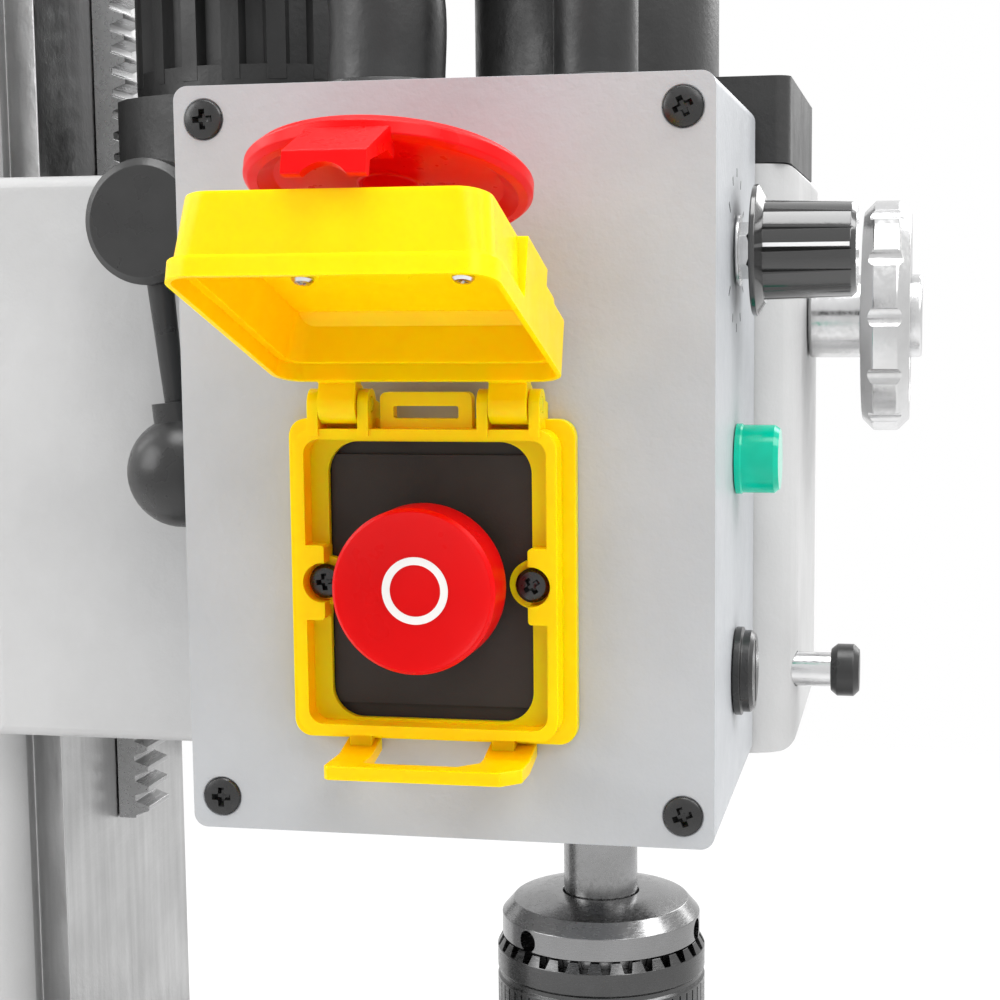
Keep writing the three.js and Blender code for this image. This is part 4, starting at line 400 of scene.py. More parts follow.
def cast_paint(name, tone, bare=None):
    """Paint over a casting. Where bare gives an axis and its bounds, the machined metal shows."""
    s = Surface(name, 0.46)
    paint = s.mottled(22, 5, grey(tone * 0.93), grey(tone * 1.03))
    rough = s.spread(s.noise(45, 3), 0.4, 0.55)
    s.bump(s.noise(95, 4), 0.32, 0.0012)
    s.bump(s.noise(800, 2), 0.15, 0.0004)
    if bare:
        which, low, high = bare
        along = s.axis(which)
        inside = s.math("MULTIPLY", s.math("GREATER_THAN", along, low), s.math("LESS_THAN", along, high))
        cuts = (1, 1, 0.06) if which == "Y" else (1, 0.06, 1)
        iron = s.between(s.noise(300, 3, cuts), grey(0.34), grey(0.55))
        s.colour(s.between(inside, paint, iron))
        s.links.new(inside, s.shader.inputs["Metallic"])
        s.roughness(s.math("SUBTRACT", rough, s.math("MULTIPLY", inside, 0.12)))
    else:
        s.colour(paint)
        s.roughness(rough)
    return s.material


def plastic(name, first, second, roughness, grain=900, depth=0.00012, strength=0.25, coat=0.0,
            subsurface=0.0, specular=0.5):
    s = Surface(name, roughness)
    s.colour(s.mottled(26, 4, first, second))
    s.roughness(s.spread(s.noise(110, 3), roughness * 0.82, roughness * 1.2))
    s.bump(s.noise(grain, 2), strength, depth)
    s.bump(s.noise(40, 2), 0.12, 0.0008)
    s.set(Coat_Weight=coat, Coat_Roughness=0.12, Specular_IOR_Level=specular)
    if subsurface:
        s.set(Subsurface_Weight=subsurface, Subsurface_Radius=(1, 0.2, 0.02), Subsurface_Scale=0.007)
    return s.material


def steel(name, tone, roughness, stretch=(1, 1, 1), scale=700, metallic=1.0):
    s = Surface(name, roughness, metallic)
    s.colour(s.mottled(40, 4, grey(tone * 0.88), grey(tone * 1.08, (1, 1, 1.01))))
    fine = s.noise(scale, 3, stretch)
    s.roughness(s.spread(fine, roughness * 0.75, roughness * 1.35))
    s.bump(fine, 0.25, 0.0001)
    return s.material


def lens(name):
    s = Surface(name, 0.12)
    s.colour(s.mottled(90, 2, (0.0, 0.44, 0.28), (0.0, 0.56, 0.38)))
    s.bump(s.noise(320, 2), 0.1, 0.0003)
    s.set(Transmission_Weight=0.2, IOR=1.49, Specular_IOR_Level=0.25)
    # Painted glow: the indicator is not lit, and this faint green emission only makes the lens brighter than
    # the light on it
    s.set(Emission_Color=(0.0, 0.6, 0.42, 1), Emission_Strength=0.12)
    return s.material


def circuit(name):
    s = Surface(name, 0.4)
    brick = s.nodes.new("ShaderNodeTexBrick")
    put(brick, Scale=110, Color1=(0.006, 0.09, 0.03, 1), Color2=(0.008, 0.12, 0.04, 1),
        Mortar=(0.02, 0.2, 0.07, 1))
    s.links.new(s.place, brick.inputs["Vector"])
    s.colour(brick.outputs["Color"])
    s.bump(brick.outputs["Fac"], 0.2, 0.0002)
    return s.material


BOX_GREY = powder_coat("box_paint", 0.455)
CAST_GREY = cast_paint("cast_paint", 0.5)
BASE_PAINT = cast_paint("base_paint", 0.5, ("Z", 0.0581, 1.0))
COLUMN_PAINT = cast_paint("column_paint", 0.5, ("Y", 0.0, 0.1621))
SADDLE_PAINT = cast_paint("saddle_paint", 0.5, ("Z", 0.1, 1.0))
BLACK_PAINT = cast_paint("black_paint", 0.018)
BLACK = plastic("black_plastic", grey(0.014), grey(0.022), 0.3)
SATIN_BLACK = plastic("satin_black", grey(0.012), grey(0.02), 0.38, 500, 0.0003, 0.3)
PLATE_BLACK = plastic("plate_black", grey(0.02, WARM), grey(0.03, WARM), 0.45, 1400, 0.00015, 0.4,
                      specular=0.2)
YELLOW = plastic("yellow_plastic", (1.0, 0.6, 0.0), (1.0, 0.66, 0.0), 0.34, 700, 0.0001, 0.2,
                 subsurface=0.7, specular=0.15)
RED = plastic("red_plastic", (0.64, 0.0, 0.001), (0.7, 0.001, 0.002), 0.32, 700, 0.0001, 0.15,
              subsurface=0.3, specular=0.15)
GLOSS_BLACK = plastic("gloss_black", grey(0.014), grey(0.02), 0.16, 500, 0.0002, 0.2, 0.8)
WHITE_PRINT = plastic("white_print", grey(0.78), grey(0.84), 0.35)
DARK_PRINT = plastic("dark_print", grey(0.03), grey(0.05), 0.4)
BRIGHT = steel("bright_steel", 0.62, 0.2)
SPINDLE_STEEL = steel("spindle_steel", 0.3, 0.24)
DARK_STEEL = steel("dark_steel", 0.055, 0.3, metallic=0.9)
CHUCK_STEEL = steel("chuck_steel", 0.24, 0.22, (1, 1, 6), 500)
SLEEVE_STEEL = steel("sleeve_steel", 0.09, 0.26, (1, 1, 6), 500)
GROUND = steel("ground_iron", 0.42, 0.3, (0.05, 1, 1), 900, 0.95)
RUBBER = plastic("belt_rubber", grey(0.012), grey(0.02), 0.7, 260, 0.0004, 0.5)
LENS = lens("green_lens")
BOARD = circuit("circuit_board")


# Nodes of the frame that keep their shape: edges are eased, and each gets its material

def eased(node, material, width):
    obj = NODES[node]
    obj.modifiers.new("weld", "WELD").merge_threshold = 1e-6
    flat = obj.modifiers.new("flat", "DECIMATE")
    flat.decimate_type = "DISSOLVE"
    flat.angle_limit = math.radians(0.8)
    edge_bevel(obj, width * MM, 2, 25)
    coated(obj, material, False)


# Material, width of the bevel and the nodes that get them
EASED = (
    (BASE_PAINT, 1.2, ["base"]),
    (COLUMN_PAINT, 1.0, ["column"]),
    (SADDLE_PAINT, 1.0, ["saddle"]),
    (CAST_GREY, 1.6, ["head_casting"]),
    (CAST_GREY, 1.2, ["table_end_left", "table_end_right", "front_bracket"]),
    (BOX_GREY, 0.7, ["control_box"]),
    (BLACK_PAINT, 1.0, ["belt_housing"]),
    (BLACK_PAINT, 0.5, ["motor"]),
    (BLACK, 1.0, ["column_cap"]),
    (BLACK, 0.8, ["x_handwheel", "y_handwheel"]),
    (BLACK, 0.6, ["motor_cowl"]),
    (BLACK, 0.5, ["feed_spoke_1", "feed_spoke_2", "feed_spoke_3"]),
    (BLACK, 0.2, ["lamp_body"]),
    (GROUND, 0.5, ["table"]),
    (GROUND, 0.3, ["saddle_gib", "table_gib", "head_gib"]),
    (GROUND, 0.2, ["rack"]),
    (BRIGHT, 0.4, ["spindle_bearing_lower", "spindle_bearing_upper", "feed_pinion"]),
    (BRIGHT, 0.3, ["x_screw", "y_screw", "motor_pulley", "spindle_pulley"]),
    (SPINDLE_STEEL, 0.4, ["spindle"]),
    (RUBBER, 0.3, ["drive_belt"]),
    (BOARD, 0.2, ["control_board"]),
)
for node_material, node_width, node_names in EASED:
    for node_name in node_names:
        eased(node_name, node_material, node_width)


# Control box cover and its screws

def screw_places():
    u = BOX_WIDTH / 2 - COVER_SCREW_INSET[0]
    v = BOX_HEIGHT / 2 - COVER_SCREW_INSET[1]
    return [(-u, v), (u, v), (u, -v), (-u, -v)]


def switch_holes(low, high, x=0, y=0):
    """Cutters for the two screws that hold a switch whose middle is at (x, y)."""
    return [rod(SWITCH_SCREW_HOLE, low, high, steps=24, place=moved(x + side * SWITCH_SCREW_X, y))
            for side in (-1, 1)]


def cover():
    back = -COVER - OVERRUN
    plate = prism(rect_about(BOX_WIDTH, BOX_HEIGHT, BOX_CORNER), -COVER, 0)
    sink = [(0, back), (2.3, back), (2.3, -COVER + GAP), (4.8, 0.1), (4.8, OVERRUN), (0, OVERRUN)]
    cutters = [prism(rect_about(*SWITCH_CUTOUT, BOX_CORNER, x=SWITCH_U, y=SWITCH_V), back, OVERRUN)]
    cutters += [turned(sink, steps=48, place=moved(u, v)) for u, v in screw_places()]
    return cut(plate, *cutters, *switch_holes(back, OVERRUN, SWITCH_U, SWITCH_V))


def recess(top, turn, size, depth=1.6):
    """Cutters for a cross recess whose wings get thinner on their way down."""
    half = 2.5 * size
    thin = 0.72 * size
    floor = top - depth
    mouth = top + 0.6

    def wing(length, width):
        return [(-length, -width), (length, -width), (length, width), (-length, width)]

    def across(outline):
        return [(y, x) for x, y in outline][::-1]

    low = wing(half * 0.55, thin * 0.6)
    high = wing(half * 1.05, thin * 1.1)
    middle = [(0, floor - 0.3), (thin * 0.9, floor), (thin * 1.9, mouth), (0, mouth)]
    tools = [loft(low, floor, high, mouth), loft(across(low), floor, across(high), mouth),
             turned(middle, steps=24)]
    return [spun(tool, turn) for tool in tools]


def cover_screw(turn):
    end, top = -17.1, 1.0
    head = turned([(0, end), (2, end), (2, -COVER + GAP), (4.5, 0), (4.1, 0.55), (3.2, 0.86), (1.8, top),
                   (0, top)], steps=64, soften=0.25)
    return cut(head, *recess(top, turn, 1.0))


def switch_screw(turn):
    end, seat, top = -6.5, 5.5, 7.9
    head = turned([(0, end), (1.6, end), (1.6, seat), (3.8, seat), (3.8, 6.6), (3.1, 7.5), (1.6, top),
                   (0, top)], steps=64, soften=0.3)
    return cut(head, *recess(top, turn, 0.85, 1.5))


piece("cover_plate", cover(), CONTROLS, BOX_GREY, "head", ["control_box_cover"], bevel=0.45)
for number, ((u, v), turn) in enumerate(zip(screw_places(), (0.05, 0.44, 0.35, 0)), 1):
    piece(f"cover_cross_screw_{number}", cover_screw(turn), CONTROLS @ moved(u, v), DARK_STEEL,
          "head", [f"cover_screw_{number}"])
for side, label, turn in ((-1, "left", 0.1), (1, "right", 0.6)):
    piece(f"switch_cross_screw_{label}", switch_screw(turn), SWITCH @ moved(side * SWITCH_SCREW_X),
          DARK_STEEL, "head", [f"switch_screw_{label}"])


# Switch body, base and stop button

FLANGE = (64.8, 71.8, 4)
LIP = (58.8, 68, 4.5)
LIP_WALL = 2.3
LIP_HEIGHT = 9.5
WINDOW = (46, 62, 7)
BODY_PLATE = 1.4
PLATE_STEP = 0.9
SWITCH_FLOOR = GAP + BODY_PLATE + PLATE_STEP + GAP
BODY = (FLANGE[0] - 4 * LIP_WALL, FLANGE[1] - 4 * LIP_WALL, 4.5)
BODY_REAR = (39.9, 51.4, BOX_CORNER)
BODY_END = -36
FLANGE_TOP = 3.2
ABOVE_LIP = 12
PAD_REACH = 4.2
PAD_HALF = 8.3
SEAT_RADIUS = 5.4
SEAT_TOP = 5.2
SCREW_ROOM = 4.4
EAR_RADIUS = 3.4
EAR_WIDTH = 2.4
AXLE_BORE = 1.8
ARM_X = 19
ARM_ROOM = 4.5
CATCH_BAR = 3.1
CATCH_BEND = 9
CATCH_REACH = 21
CATCH_CORNER = 4
BUTTON_RADIUS = 18
DISH_FLOOR = 17.7
DISH_RISE = 2.6


def switch_body():
    top = GAP + BODY_PLATE
    plate = prism(rect_about(*BODY), GAP, top)
    raised = prism(rect_about(WINDOW[0] - GAP, WINDOW[1] - 6, GAP), GAP + BODY_PLATE / 2,
                   top + PLATE_STEP)
    rear = prism(rect_about(*BODY_REAR), BODY_END, BODY_PLATE)
    return cut(union(plate, raised, rear), rod(13.3, -1.3, 8), *switch_holes(-OVERRUN, 6))


def switch_base():
    shell = union(prism(rect_about(*FLANGE), GAP, FLANGE_TOP),
                  prism(rect_about(*LIP), 1.6, LIP_HEIGHT))
    room = (LIP[0] - 2 * LIP_WALL, LIP[1] - 2 * LIP_WALL, 3.3)
    inside = prism(rect_about(*room), SWITCH_FLOOR + 1.6, ABOVE_LIP)
    under = prism(rect_about(BODY[0] + 2 * GAP, BODY[1] + 2 * GAP, BODY[2]), -OVERRUN, SWITCH_FLOOR)
    window = prism(rect_about(*WINDOW, 14), -OVERRUN, ABOVE_LIP)
    cut(shell, inside, under, window)
    adds = []
    holes = []
    for side, hole in zip((-1, 1), switch_holes(-OVERRUN, LIP_HEIGHT)):
        ends = (side * (LIP[0] / 2 - LIP_WALL / 2), side * (LIP[0] / 2 - LIP_WALL - PAD_REACH))
        place = moved(side * SWITCH_SCREW_X)
        adds.append(prism(rect(min(ends), max(ends), -PAD_HALF, PAD_HALF, 0.8), SWITCH_FLOOR, LIP_HEIGHT))
        adds.append(rod(SEAT_RADIUS, SWITCH_FLOOR, SEAT_TOP, place=place))
        holes += [hole, rod(SCREW_ROOM, SEAT_TOP, LIP_HEIGHT + OVERRUN, place=place)]
    return cut(union(shell, *adds, top_loop(), *ears(), *catch_roots()), *holes)


def top_loop():
    low = FLANGE[1] / 2 - 3
    loop = prism(rect(-10.3, 10.3, low, low + 9, 1.5), LIP_HEIGHT - 6, LIP_HEIGHT - 3)
    return cut(loop, prism(rect(-7.3, 7.3, low + 3.3, low + 6, 0.5), 0, LIP_HEIGHT))


def catch_shape(left, right, low, high):
    """The loop's outline seen from below, with its right-hand corner cut off."""
    return [(left, low), (right, low), (right, high - CATCH_CORNER), (right - CATCH_CORNER, high),
            (left + 1, high), (left, high - 1)]


def catch_loop():
    """The open loop under the base: two legs, which slope down from the flange, and a cross bar."""
    top = -FLANGE[1] / 2 - 2.5
    bottom = top - CATCH_BAR
    slope = 2.2
    side = [(top + slope, GAP), (bottom + slope, GAP), (bottom, CATCH_BEND), (bottom, CATCH_REACH),
            (top, CATCH_REACH), (top, CATCH_BEND)]
    span = (bottom - OVERRUN, top + 4, "y")
    stock = common(prism(side, -21, 23.5, "x"), prism(catch_shape(-20.6, 22.9, GAP, CATCH_REACH), *span))
    return cut(stock, prism(catch_shape(-12.9, 12.4, -OVERRUN, 16.6), *span))


def catch_roots():
    """The blocks under the flange that carry the catch loop's legs."""
    edge = -FLANGE[1] / 2
    return [box(x, x + 5, edge - 2.4, edge + 1.2, GAP, 5) for x in (-19.1, 13.6)]


def ears():
    made = []
    low = FLANGE[1] / 2 - EAR_RADIUS
    shape = [(low, GAP), (HINGE_V, GAP)]
    shape += arc(HINGE_V, HINGE_W, EAR_RADIUS, -math.pi / 2, math.pi / 2, 16)[1:]
    shape.append((low, HINGE_W + EAR_RADIUS))
    for side in (-1, 1):
        for half in (-1, 1):
            inner = side * ARM_X + half * ARM_ROOM
            outer = inner + half * EAR_WIDTH
            left, right = min(inner, outer), max(inner, outer)
            bore = rod(AXLE_BORE, left - OVERRUN, right + OVERRUN, "x", 24, moved(0, HINGE_V, HINGE_W))
            made.append(cut(prism(shape, left, right, "x"), bore))
    return made


def dish(radius):
    """The height of the stop button's hollow face at a radius."""
    return DISH_FLOOR + DISH_RISE * radius * radius / (BUTTON_RADIUS * BUTTON_RADIUS)


def stop_button():
    stem, edge, rim = 13, BUTTON_RADIUS - 0.8, 19.5
    profile = [(0, 1.5), (stem, 1.5), (stem, 8), (edge, 8), (BUTTON_RADIUS, 8.8), (BUTTON_RADIUS, rim),
               (edge, rim + 0.8)]
    profile += [(r, dish(r)) for r in (16.2, 14.5, 12.5, 10.5, 8.5, 6.5, 4.5, 2.5, 0)]
    return turned(profile, steps=128, soften=0.35)


def button_ring():
    """The printed ring on the button's face."""
    inner, outer, above, below = 5.6, 7.3, 0.12, 0.1
    ring = [(inner, dish(inner) - below), (outer, dish(outer) - below), (outer, dish(outer) + above),
            (inner, dish(inner) + above)]
    return turned(ring + ring[:1], steps=128)


piece("switch_plate", switch_body(), SWITCH, PLATE_BLACK, "head", ["switch_body"],
      bevel=0.25)
piece("switch_housing", switch_base(), SWITCH, YELLOW, "head", ["switch_base"], bevel=0.45)
piece("switch_catch_loop", catch_loop(), SWITCH, YELLOW, "head", bevel=1.0, segments=4)
piece("stop_button_cap", stop_button(), SWITCH, RED, "button", ["stop_button"])
piece("stop_button_ring", button_ring(), SWITCH, WHITE_PRINT, "button")


# Lid with its arms, and the mushroom with its latch tongue

LID_FACE = 20
LID_RIM = 3.5
LID_BAND = 4
LID_BAND_TOP = LID_RIM + LID_BAND
LID_WALL = 2.2
LID_STEP = 1.1
LID_HALVES = (31.8, 29.5)
LID_ENDS = ((-77.4, -5.4), (-77.0, -5.8))
LID_PAD = (-51, -31)
LID_SCREW_X = 16.6
LID_SCREW_END = 14.4
ARM_RADIUS = 4.4
STEM_RADIUS = 6
STEM_SPLIT = LID_FACE - 2
MUSHROOM_RADIUS = 29.2
MUSHROOM_INNER = 26.2


def lid_outline(inset, level):
    """The lid's outline at its rim, where level is 0, or at its face, where level is 1, drawn in by inset."""
    half = LID_HALVES[level] - inset
    low, high = LID_ENDS[level]
    return rect(-half, half, low + inset, high - inset, 6 - inset)


def lid():
    above_band = LID_BAND_TOP - GAP
    body = loft(lid_outline(LID_STEP, 0), above_band, lid_outline(0, 1), LID_FACE)
    band = prism(lid_outline(0, 0), LID_RIM, LID_BAND_TOP)
    pads = [box(*x, *LID_PAD, above_band, LID_FACE - GAP) for x in ((27.3, 31.8), (-31.8, -27.3))]
    shoulders = common(prism(lid_outline(0, 0), above_band, 15.3), box(-40, 40, LID_PAD[1], 0, 7, 16))
    hollow = loft(lid_outline(LID_WALL, 0), LID_RIM - OVERRUN, lid_outline(LID_WALL, 1), LID_FACE - LID_WALL)
    step = prism(lid_outline(LID_STEP, 0), LID_RIM - OVERRUN, above_band)
    shell = cut(union(body, band, shoulders, *pads), hollow, step)
    chamfer = prism([(-7.3, 15.1), (-7.3, 18.4), (-10.9, 18.4), (-10.3, 17.8), (-7.8, 15.1)], -27.6, 27.6,
                    "x")
    bosses = [turned([(0, 15.8), (3.1, 15.8), (3.4, 18.8), (0, 18.8)], steps=40,
                     place=moved(side * LID_SCREW_X, -HINGE_V)) for side in (-1, 1)]
    arms = [lid_arm(side * ARM_X) for side in (-1, 1)]
    return cut(union(shell, *arms, chamfer, *bosses), rod(7, 4, 22, steps=64, place=moved(0, -HINGE_V)))


def lid_arm(middle):
    """An arm round the hinge's axis, with a stub axle on each side of it."""
    shape = arc(0, 0, ARM_RADIUS, -math.pi, math.pi / 2, 24)
    shape += [(-2.98, LID_BAND_TOP), (-5.95, LID_BAND_TOP), (-5.95, LID_RIM), (-ARM_RADIUS, LID_RIM)]
    half = ARM_ROOM - GAP
    reach = ARM_ROOM + EAR_WIDTH
    return union(prism(shape, middle - half, middle + half, "x"),
                 rod(AXLE_BORE - GAP, middle - reach, middle + reach, "x", 24))


def lid_screw(turn):
    head = turned([(0, 17), (1.2, 17), (1.2, 15.8), (2.3, 15.8), (2.3, 15.2), (1.7, 14.6),
                   (0, LID_SCREW_END)], steps=40, soften=0.2)
    tools = recess(0, turn, 0.5, 0.9)
    for tool in tools:
        tool.data.transform(moved(z=LID_SCREW_END) @ Matrix.Rotation(math.pi, 4, "X"))
    return cut(head, *tools)


def mushroom():
    rim = LID_FACE + 13.4
    top = rim + 5
    crown = top + 4
    under = top - 3
    cap = turned([(0, STEM_SPLIT), (STEM_RADIUS, STEM_SPLIT), (STEM_RADIUS, under), (23.2, under),
                  (MUSHROOM_INNER, under - 1.8), (MUSHROOM_INNER, rim), (MUSHROOM_RADIUS - 1, rim),
                  (MUSHROOM_RADIUS, rim + 1), (MUSHROOM_RADIUS, top - 1.5), (MUSHROOM_RADIUS - 1.5, top),
                  (23.4, top + 1.6), (17.5, crown - 1.2), (9, crown - 0.3), (0, crown)], steps=144,
                 soften=0.8)
    return union(cap, tongue(under))


def tongue(high):
    """The latch: a slope from the mushroom's rim down to an upright front with an arch in its lower edge."""
    start = HINGE_V + MUSHROOM_INNER
    near = 79
    end = near + 2.4
    low = LID_FACE + 1.2
    thick = 4.8
    side = [(-start + 1.5, high), (-start - 3, high), (-end, low + 4.5), (-end, low), (-near, low),
            (-near, low + 3.3), (-start - 3, high - thick), (-start + 1.5, high - thick)]
    side = rounded([(y + HINGE_V, z) for y, z in side], 0.6, 3)
    arch = rod(5.5, -end + HINGE_V - 2, -near + HINGE_V + GAP, "y", 48, moved(z=low - 3.3))
    return cut(prism(side, -8, 8, "x"), arch)


def plunger():
    """The end of the mushroom's stem, which pushes the stop button through the lid."""
    end = dish(STEM_RADIUS) - HINGE_W + 2 * GAP + 4
    return turned([(0, end), (STEM_RADIUS - 0.8, end), (STEM_RADIUS, end + 0.8), (STEM_RADIUS, STEM_SPLIT),
                   (0, STEM_SPLIT)], steps=64, soften=0.3)


LID_MIDDLE = LID @ moved(0, -HINGE_V)
piece("lid_shell", lid(), LID, YELLOW, "lid", ["switch_lid"], bevel=0.45)
for side, label, turn in ((-1, "left", 0.5), (1, "right", 1.1)):
    piece(f"lid_inner_screw_{label}", lid_screw(turn), LID_MIDDLE @ moved(side * LID_SCREW_X), BRIGHT,
          "lid")
piece("lid_mushroom_cap", mushroom(), LID_MIDDLE, RED, "mushroom", ["lid_mushroom"], bevel=0.3)
piece("lid_mushroom_plunger", plunger(), LID_MIDDLE, YELLOW, "mushroom")


# Controls on the narrow side

NARROW = CONTROLS @ moved(z=-CONTROL_DEPTH)
NARROW_START = NARROW_SIDE + GAP
KNOB_FACE = NARROW_SIDE + 5.6
KNOB_LENGTH = 22.4
KNOB_RADIUS = 11.6
KNOB_GROOVE = 10.75
KNOB_FLUTES = 14
SKIRT_RADIUS = 15.3
NUT_RADIUS = 6.6
LENS_LENGTH = 10.2
TICK_COUNT = 11
TICK_HALF = 0.32
TICK_HEIGHT = 0.06


def speed_knob():
    end = KNOB_FACE + KNOB_LENGTH
    back = KNOB_FACE - 1.6
    shoulder = KNOB_FACE + 1.3
    step = TAU / KNOB_FLUTES
    flute = [(share, KNOB_RADIUS) for share in (-0.36, -0.2, 0, 0.2, 0.36)] + [(0.5, KNOB_GROOVE)]
    outline = [(radius * math.cos((i + share) * step), radius * math.sin((i + share) * step))
               for i in range(KNOB_FLUTES) for share, radius in flute]
    envelope = turned([(0, KNOB_FACE - 1), (11.7, KNOB_FACE - 1), (KNOB_RADIUS, KNOB_FACE), (11, end - 1.2),
                       (10, end), (0, end)], "x", soften=0.5)
    body = common(prism(outline, KNOB_FACE, end, "x"), envelope)
    skirt = turned([(0, back), (SKIRT_RADIUS, back), (SKIRT_RADIUS, back + 1.3), (12.4, shoulder),
                    (0, shoulder)], "x", soften=0.4)
    shaft = rod(2.2, NARROW_SIDE - 3, KNOB_FACE, "x", 32)
    return union(body, skirt, shaft)


def knob_pointer():
    """A white line along the knob, on the side that the marks face."""
    line = box(KNOB_FACE + 1.4, KNOB_FACE + KNOB_LENGTH - 1.4, -0.45, 0.45, 10.6, 11.8)
    return spun(line, math.radians(-5), "X")


def potentiometer():
    inside = NARROW_SIDE - 3.3
    low = NARROW_START + 0.7
    can = turned([(0, inside - 10), (8.5, inside - 10), (8.5, inside), (3.5, inside), (3.5, NARROW_START + 3),
                  (2.5, NARROW_START + 3), (2.5, inside - 5), (0, inside - 5)], "x", 48, soften=0.15)
    washer = turned([(3.4, NARROW_START), (8.2, NARROW_START), (8.2, low), (3.4, low), (3.4, NARROW_START)],
                    "x", 64, soften=0.1)
    nut = common(prism(disc(NUT_RADIUS, 6), low, low + 2.2, "x"),
                 turned([(0, low - 0.2), (NUT_RADIUS, low - 0.2), (NUT_RADIUS, low + 1.7), (6, low + 2.2),
                         (0, low + 2.2)], "x", 64))
    cut(nut, rod(2.6, NARROW_START, NARROW_START + 4, "x", 32))
    return union(can, washer, nut)


def lamp_lens():
    start = NARROW_START
    end = start + LENS_LENGTH
    return turned([(7.3, start), (8.4, start), (8.4, start + 1.2), (8.1, start + 1.6), (8.1, end - 1.2),
                   (7.2, end), (0, end), (0, end - 1.4), (6.6, end - 1.4), (7.3, end - 2.2), (7.3, start)],
                  "x")


def fuse_holder():
    start = NARROW_START
    end = start + 4.6
    back = NARROW_SIDE - 34
    body = turned([(0, back), (7.5, back), (7.5, start), (10.6, start), (10.6, start + 1.6),
                   (9.8, start + 1.9), (9.8, end - 0.9), (8.9, end), (0, end)], "x", soften=0.25)
    return cut(body, box(end - 1.4, end + 2, -7.5, 7.5, -1, 1))


def dial_scale():
    """Printed ticks round the speed knob: eleven marks, long ones at the ends and the middle."""
    marks = []
    for i in range(TICK_COUNT):
        end = 20.5 if i % 5 == 0 else 19
        tick = box(NARROW_SIDE, NARROW_SIDE + TICK_HEIGHT, 17, end, -TICK_HALF, TICK_HALF)
        marks.append(spun(tick, math.radians(-60 + 30 * i) + math.pi, "X"))
    return union(*marks)


knob_place = NARROW @ moved(y=KNOB_HEIGHT)
piece("speed_knob_fluted", speed_knob(), knob_place, GLOSS_BLACK, "knob", ["speed_knob"],
      bevel=0.12, segments=2)
piece("speed_knob_pointer", knob_pointer(), knob_place, WHITE_PRINT, "knob")
piece("speed_knob_nut", potentiometer(), knob_place, BRIGHT, "head", ["potentiometer"],
      bevel=0.08, segments=2)
piece("speed_knob_scale", dial_scale(), knob_place, DARK_PRINT, "head")
piece("lamp_lens_cap", lamp_lens(), NARROW @ moved(y=LAMP_HEIGHT), LENS, "head", ["lamp_lens"])
piece("fuse_cap", fuse_holder(), NARROW @ moved(y=FUSE_HEIGHT), BLACK, "head",
      ["fuse_holder"])


# Conduits

HEAD_RISE = 70.7
MOTOR_FLOOR = HEAD_RISE + GAP + 22 + GAP
CAP_HEIGHT = 80
CURVE_STEPS = 60
MOTOR_CURVE = ((0, 0, 0), (0, 0, 0.35), (0.02, 0.12, 0.62), (0.12, 0.42, 0.88), (0.34, 0.78, 1.02),
               (0.72, 1, 1))
SENSOR_CURVE = ((0, 0, 0), (0, 0, 0.45), (0.06, 0.08, 0.76), (0.26, 0.38, 0.97), (0.66, 1, 1))
# Name, place across the box, radius, pitch of the rings, end and way there
CONDUITS = (
    ("motor", -23.7, 14, 2.6, (-41 - 15 - GAP, 95, MOTOR_FLOOR + 36 + 22), MOTOR_CURVE),
    ("sensor", 27.2, 10, 2.2, (-35.3, 0, MOTOR_FLOOR + CAP_HEIGHT * 0.66), SENSOR_CURVE),
)


def crossed(points, share):
    """A point on the centripetal curve through four points."""
    times = [0.0]
    for a, b in zip(points, points[1:]):
        times.append(times[-1] + math.sqrt((b - a).length))
    now = times[1] + (times[2] - times[1]) * share

    def mixed(a, b, first, last):
        start, end = times[first], times[last]
        return a * ((end - now) / (end - start)) + b * ((now - start) / (end - start))

    low, middle, high = (mixed(points[i], points[i + 1], i, i + 1) for i in range(3))
    return mixed(mixed(low, middle, 0, 2), mixed(middle, high, 1, 3), 1, 2)


def curve_through(points, steps):
    points = [Vector(p) for p in points]
    points = [2 * points[0] - points[1]] + points + [2 * points[-1] - points[-2]]
    made = []
    for i in range(len(points) - 3):
        made += [crossed(points[i:i + 4], k / steps) for k in range(steps)]
    made.append(points[-2])
    return made


def tube(points, radius, pitch, sides=56):
    """A smooth tube along a curve, in rings that stand a pitch apart."""
    path = curve_through(points, CURVE_STEPS)
    lengths = [0]
    for a, b in zip(path, path[1:]):
        lengths.append(lengths[-1] + (b - a).length)
    count = int(lengths[-1] / pitch)
    places = []
    k = 0
    for i in range(count + 1):
        want = lengths[-1] * i / count
        while k < len(path) - 2 and lengths[k + 1] < want:
            k += 1
        share = (want - lengths[k]) / max(lengths[k + 1] - lengths[k], 1e-9)
        places.append(path[k].lerp(path[k + 1], share))
    verts = []
    side = Vector((1, 0, 0))
    for i, p in enumerate(places):
        ahead = places[min(i + 1, count)] - places[max(i - 1, 0)]
        ahead.normalize()
        side = (side - ahead * side.dot(ahead)).normalized()
        up = ahead.cross(side)
        verts += [p + side * a + up * b for a, b in disc(radius, sides)]
    faces = [list(reversed(range(sides))), list(range(count * sides, (count + 1) * sides))]
    for i in range(count):
        for s in range(sides):
            t = (s + 1) % sides
            faces.append([i * sides + s, i * sides + t, (i + 1) * sides + t, (i + 1) * sides + s])
    return mesh_object(verts, faces)


def foot(u, radius):
    """The gland of a conduit in the box's top, with an eight-sided nut."""
    bottom = BOX_HEIGHT / 2 + GAP
    lip = radius - 2.2
    rim = radius + 2
    stem = turned([(0, bottom - 3.6), (lip, bottom - 3.6), (lip, bottom), (rim, bottom), (rim, bottom + 1),
                   (radius + 0.6, bottom + 4), (0, bottom + 4)], steps=64, soften=0.3)
    nut = prism(disc(radius + 2.2, 8), bottom + 0.2, bottom + 2.8)
    made = union(stem, nut)
    made.data.transform(moved(CONTROL_DEPTH - PLATE_STANDOFF, BOX_BACK - u))
    return made


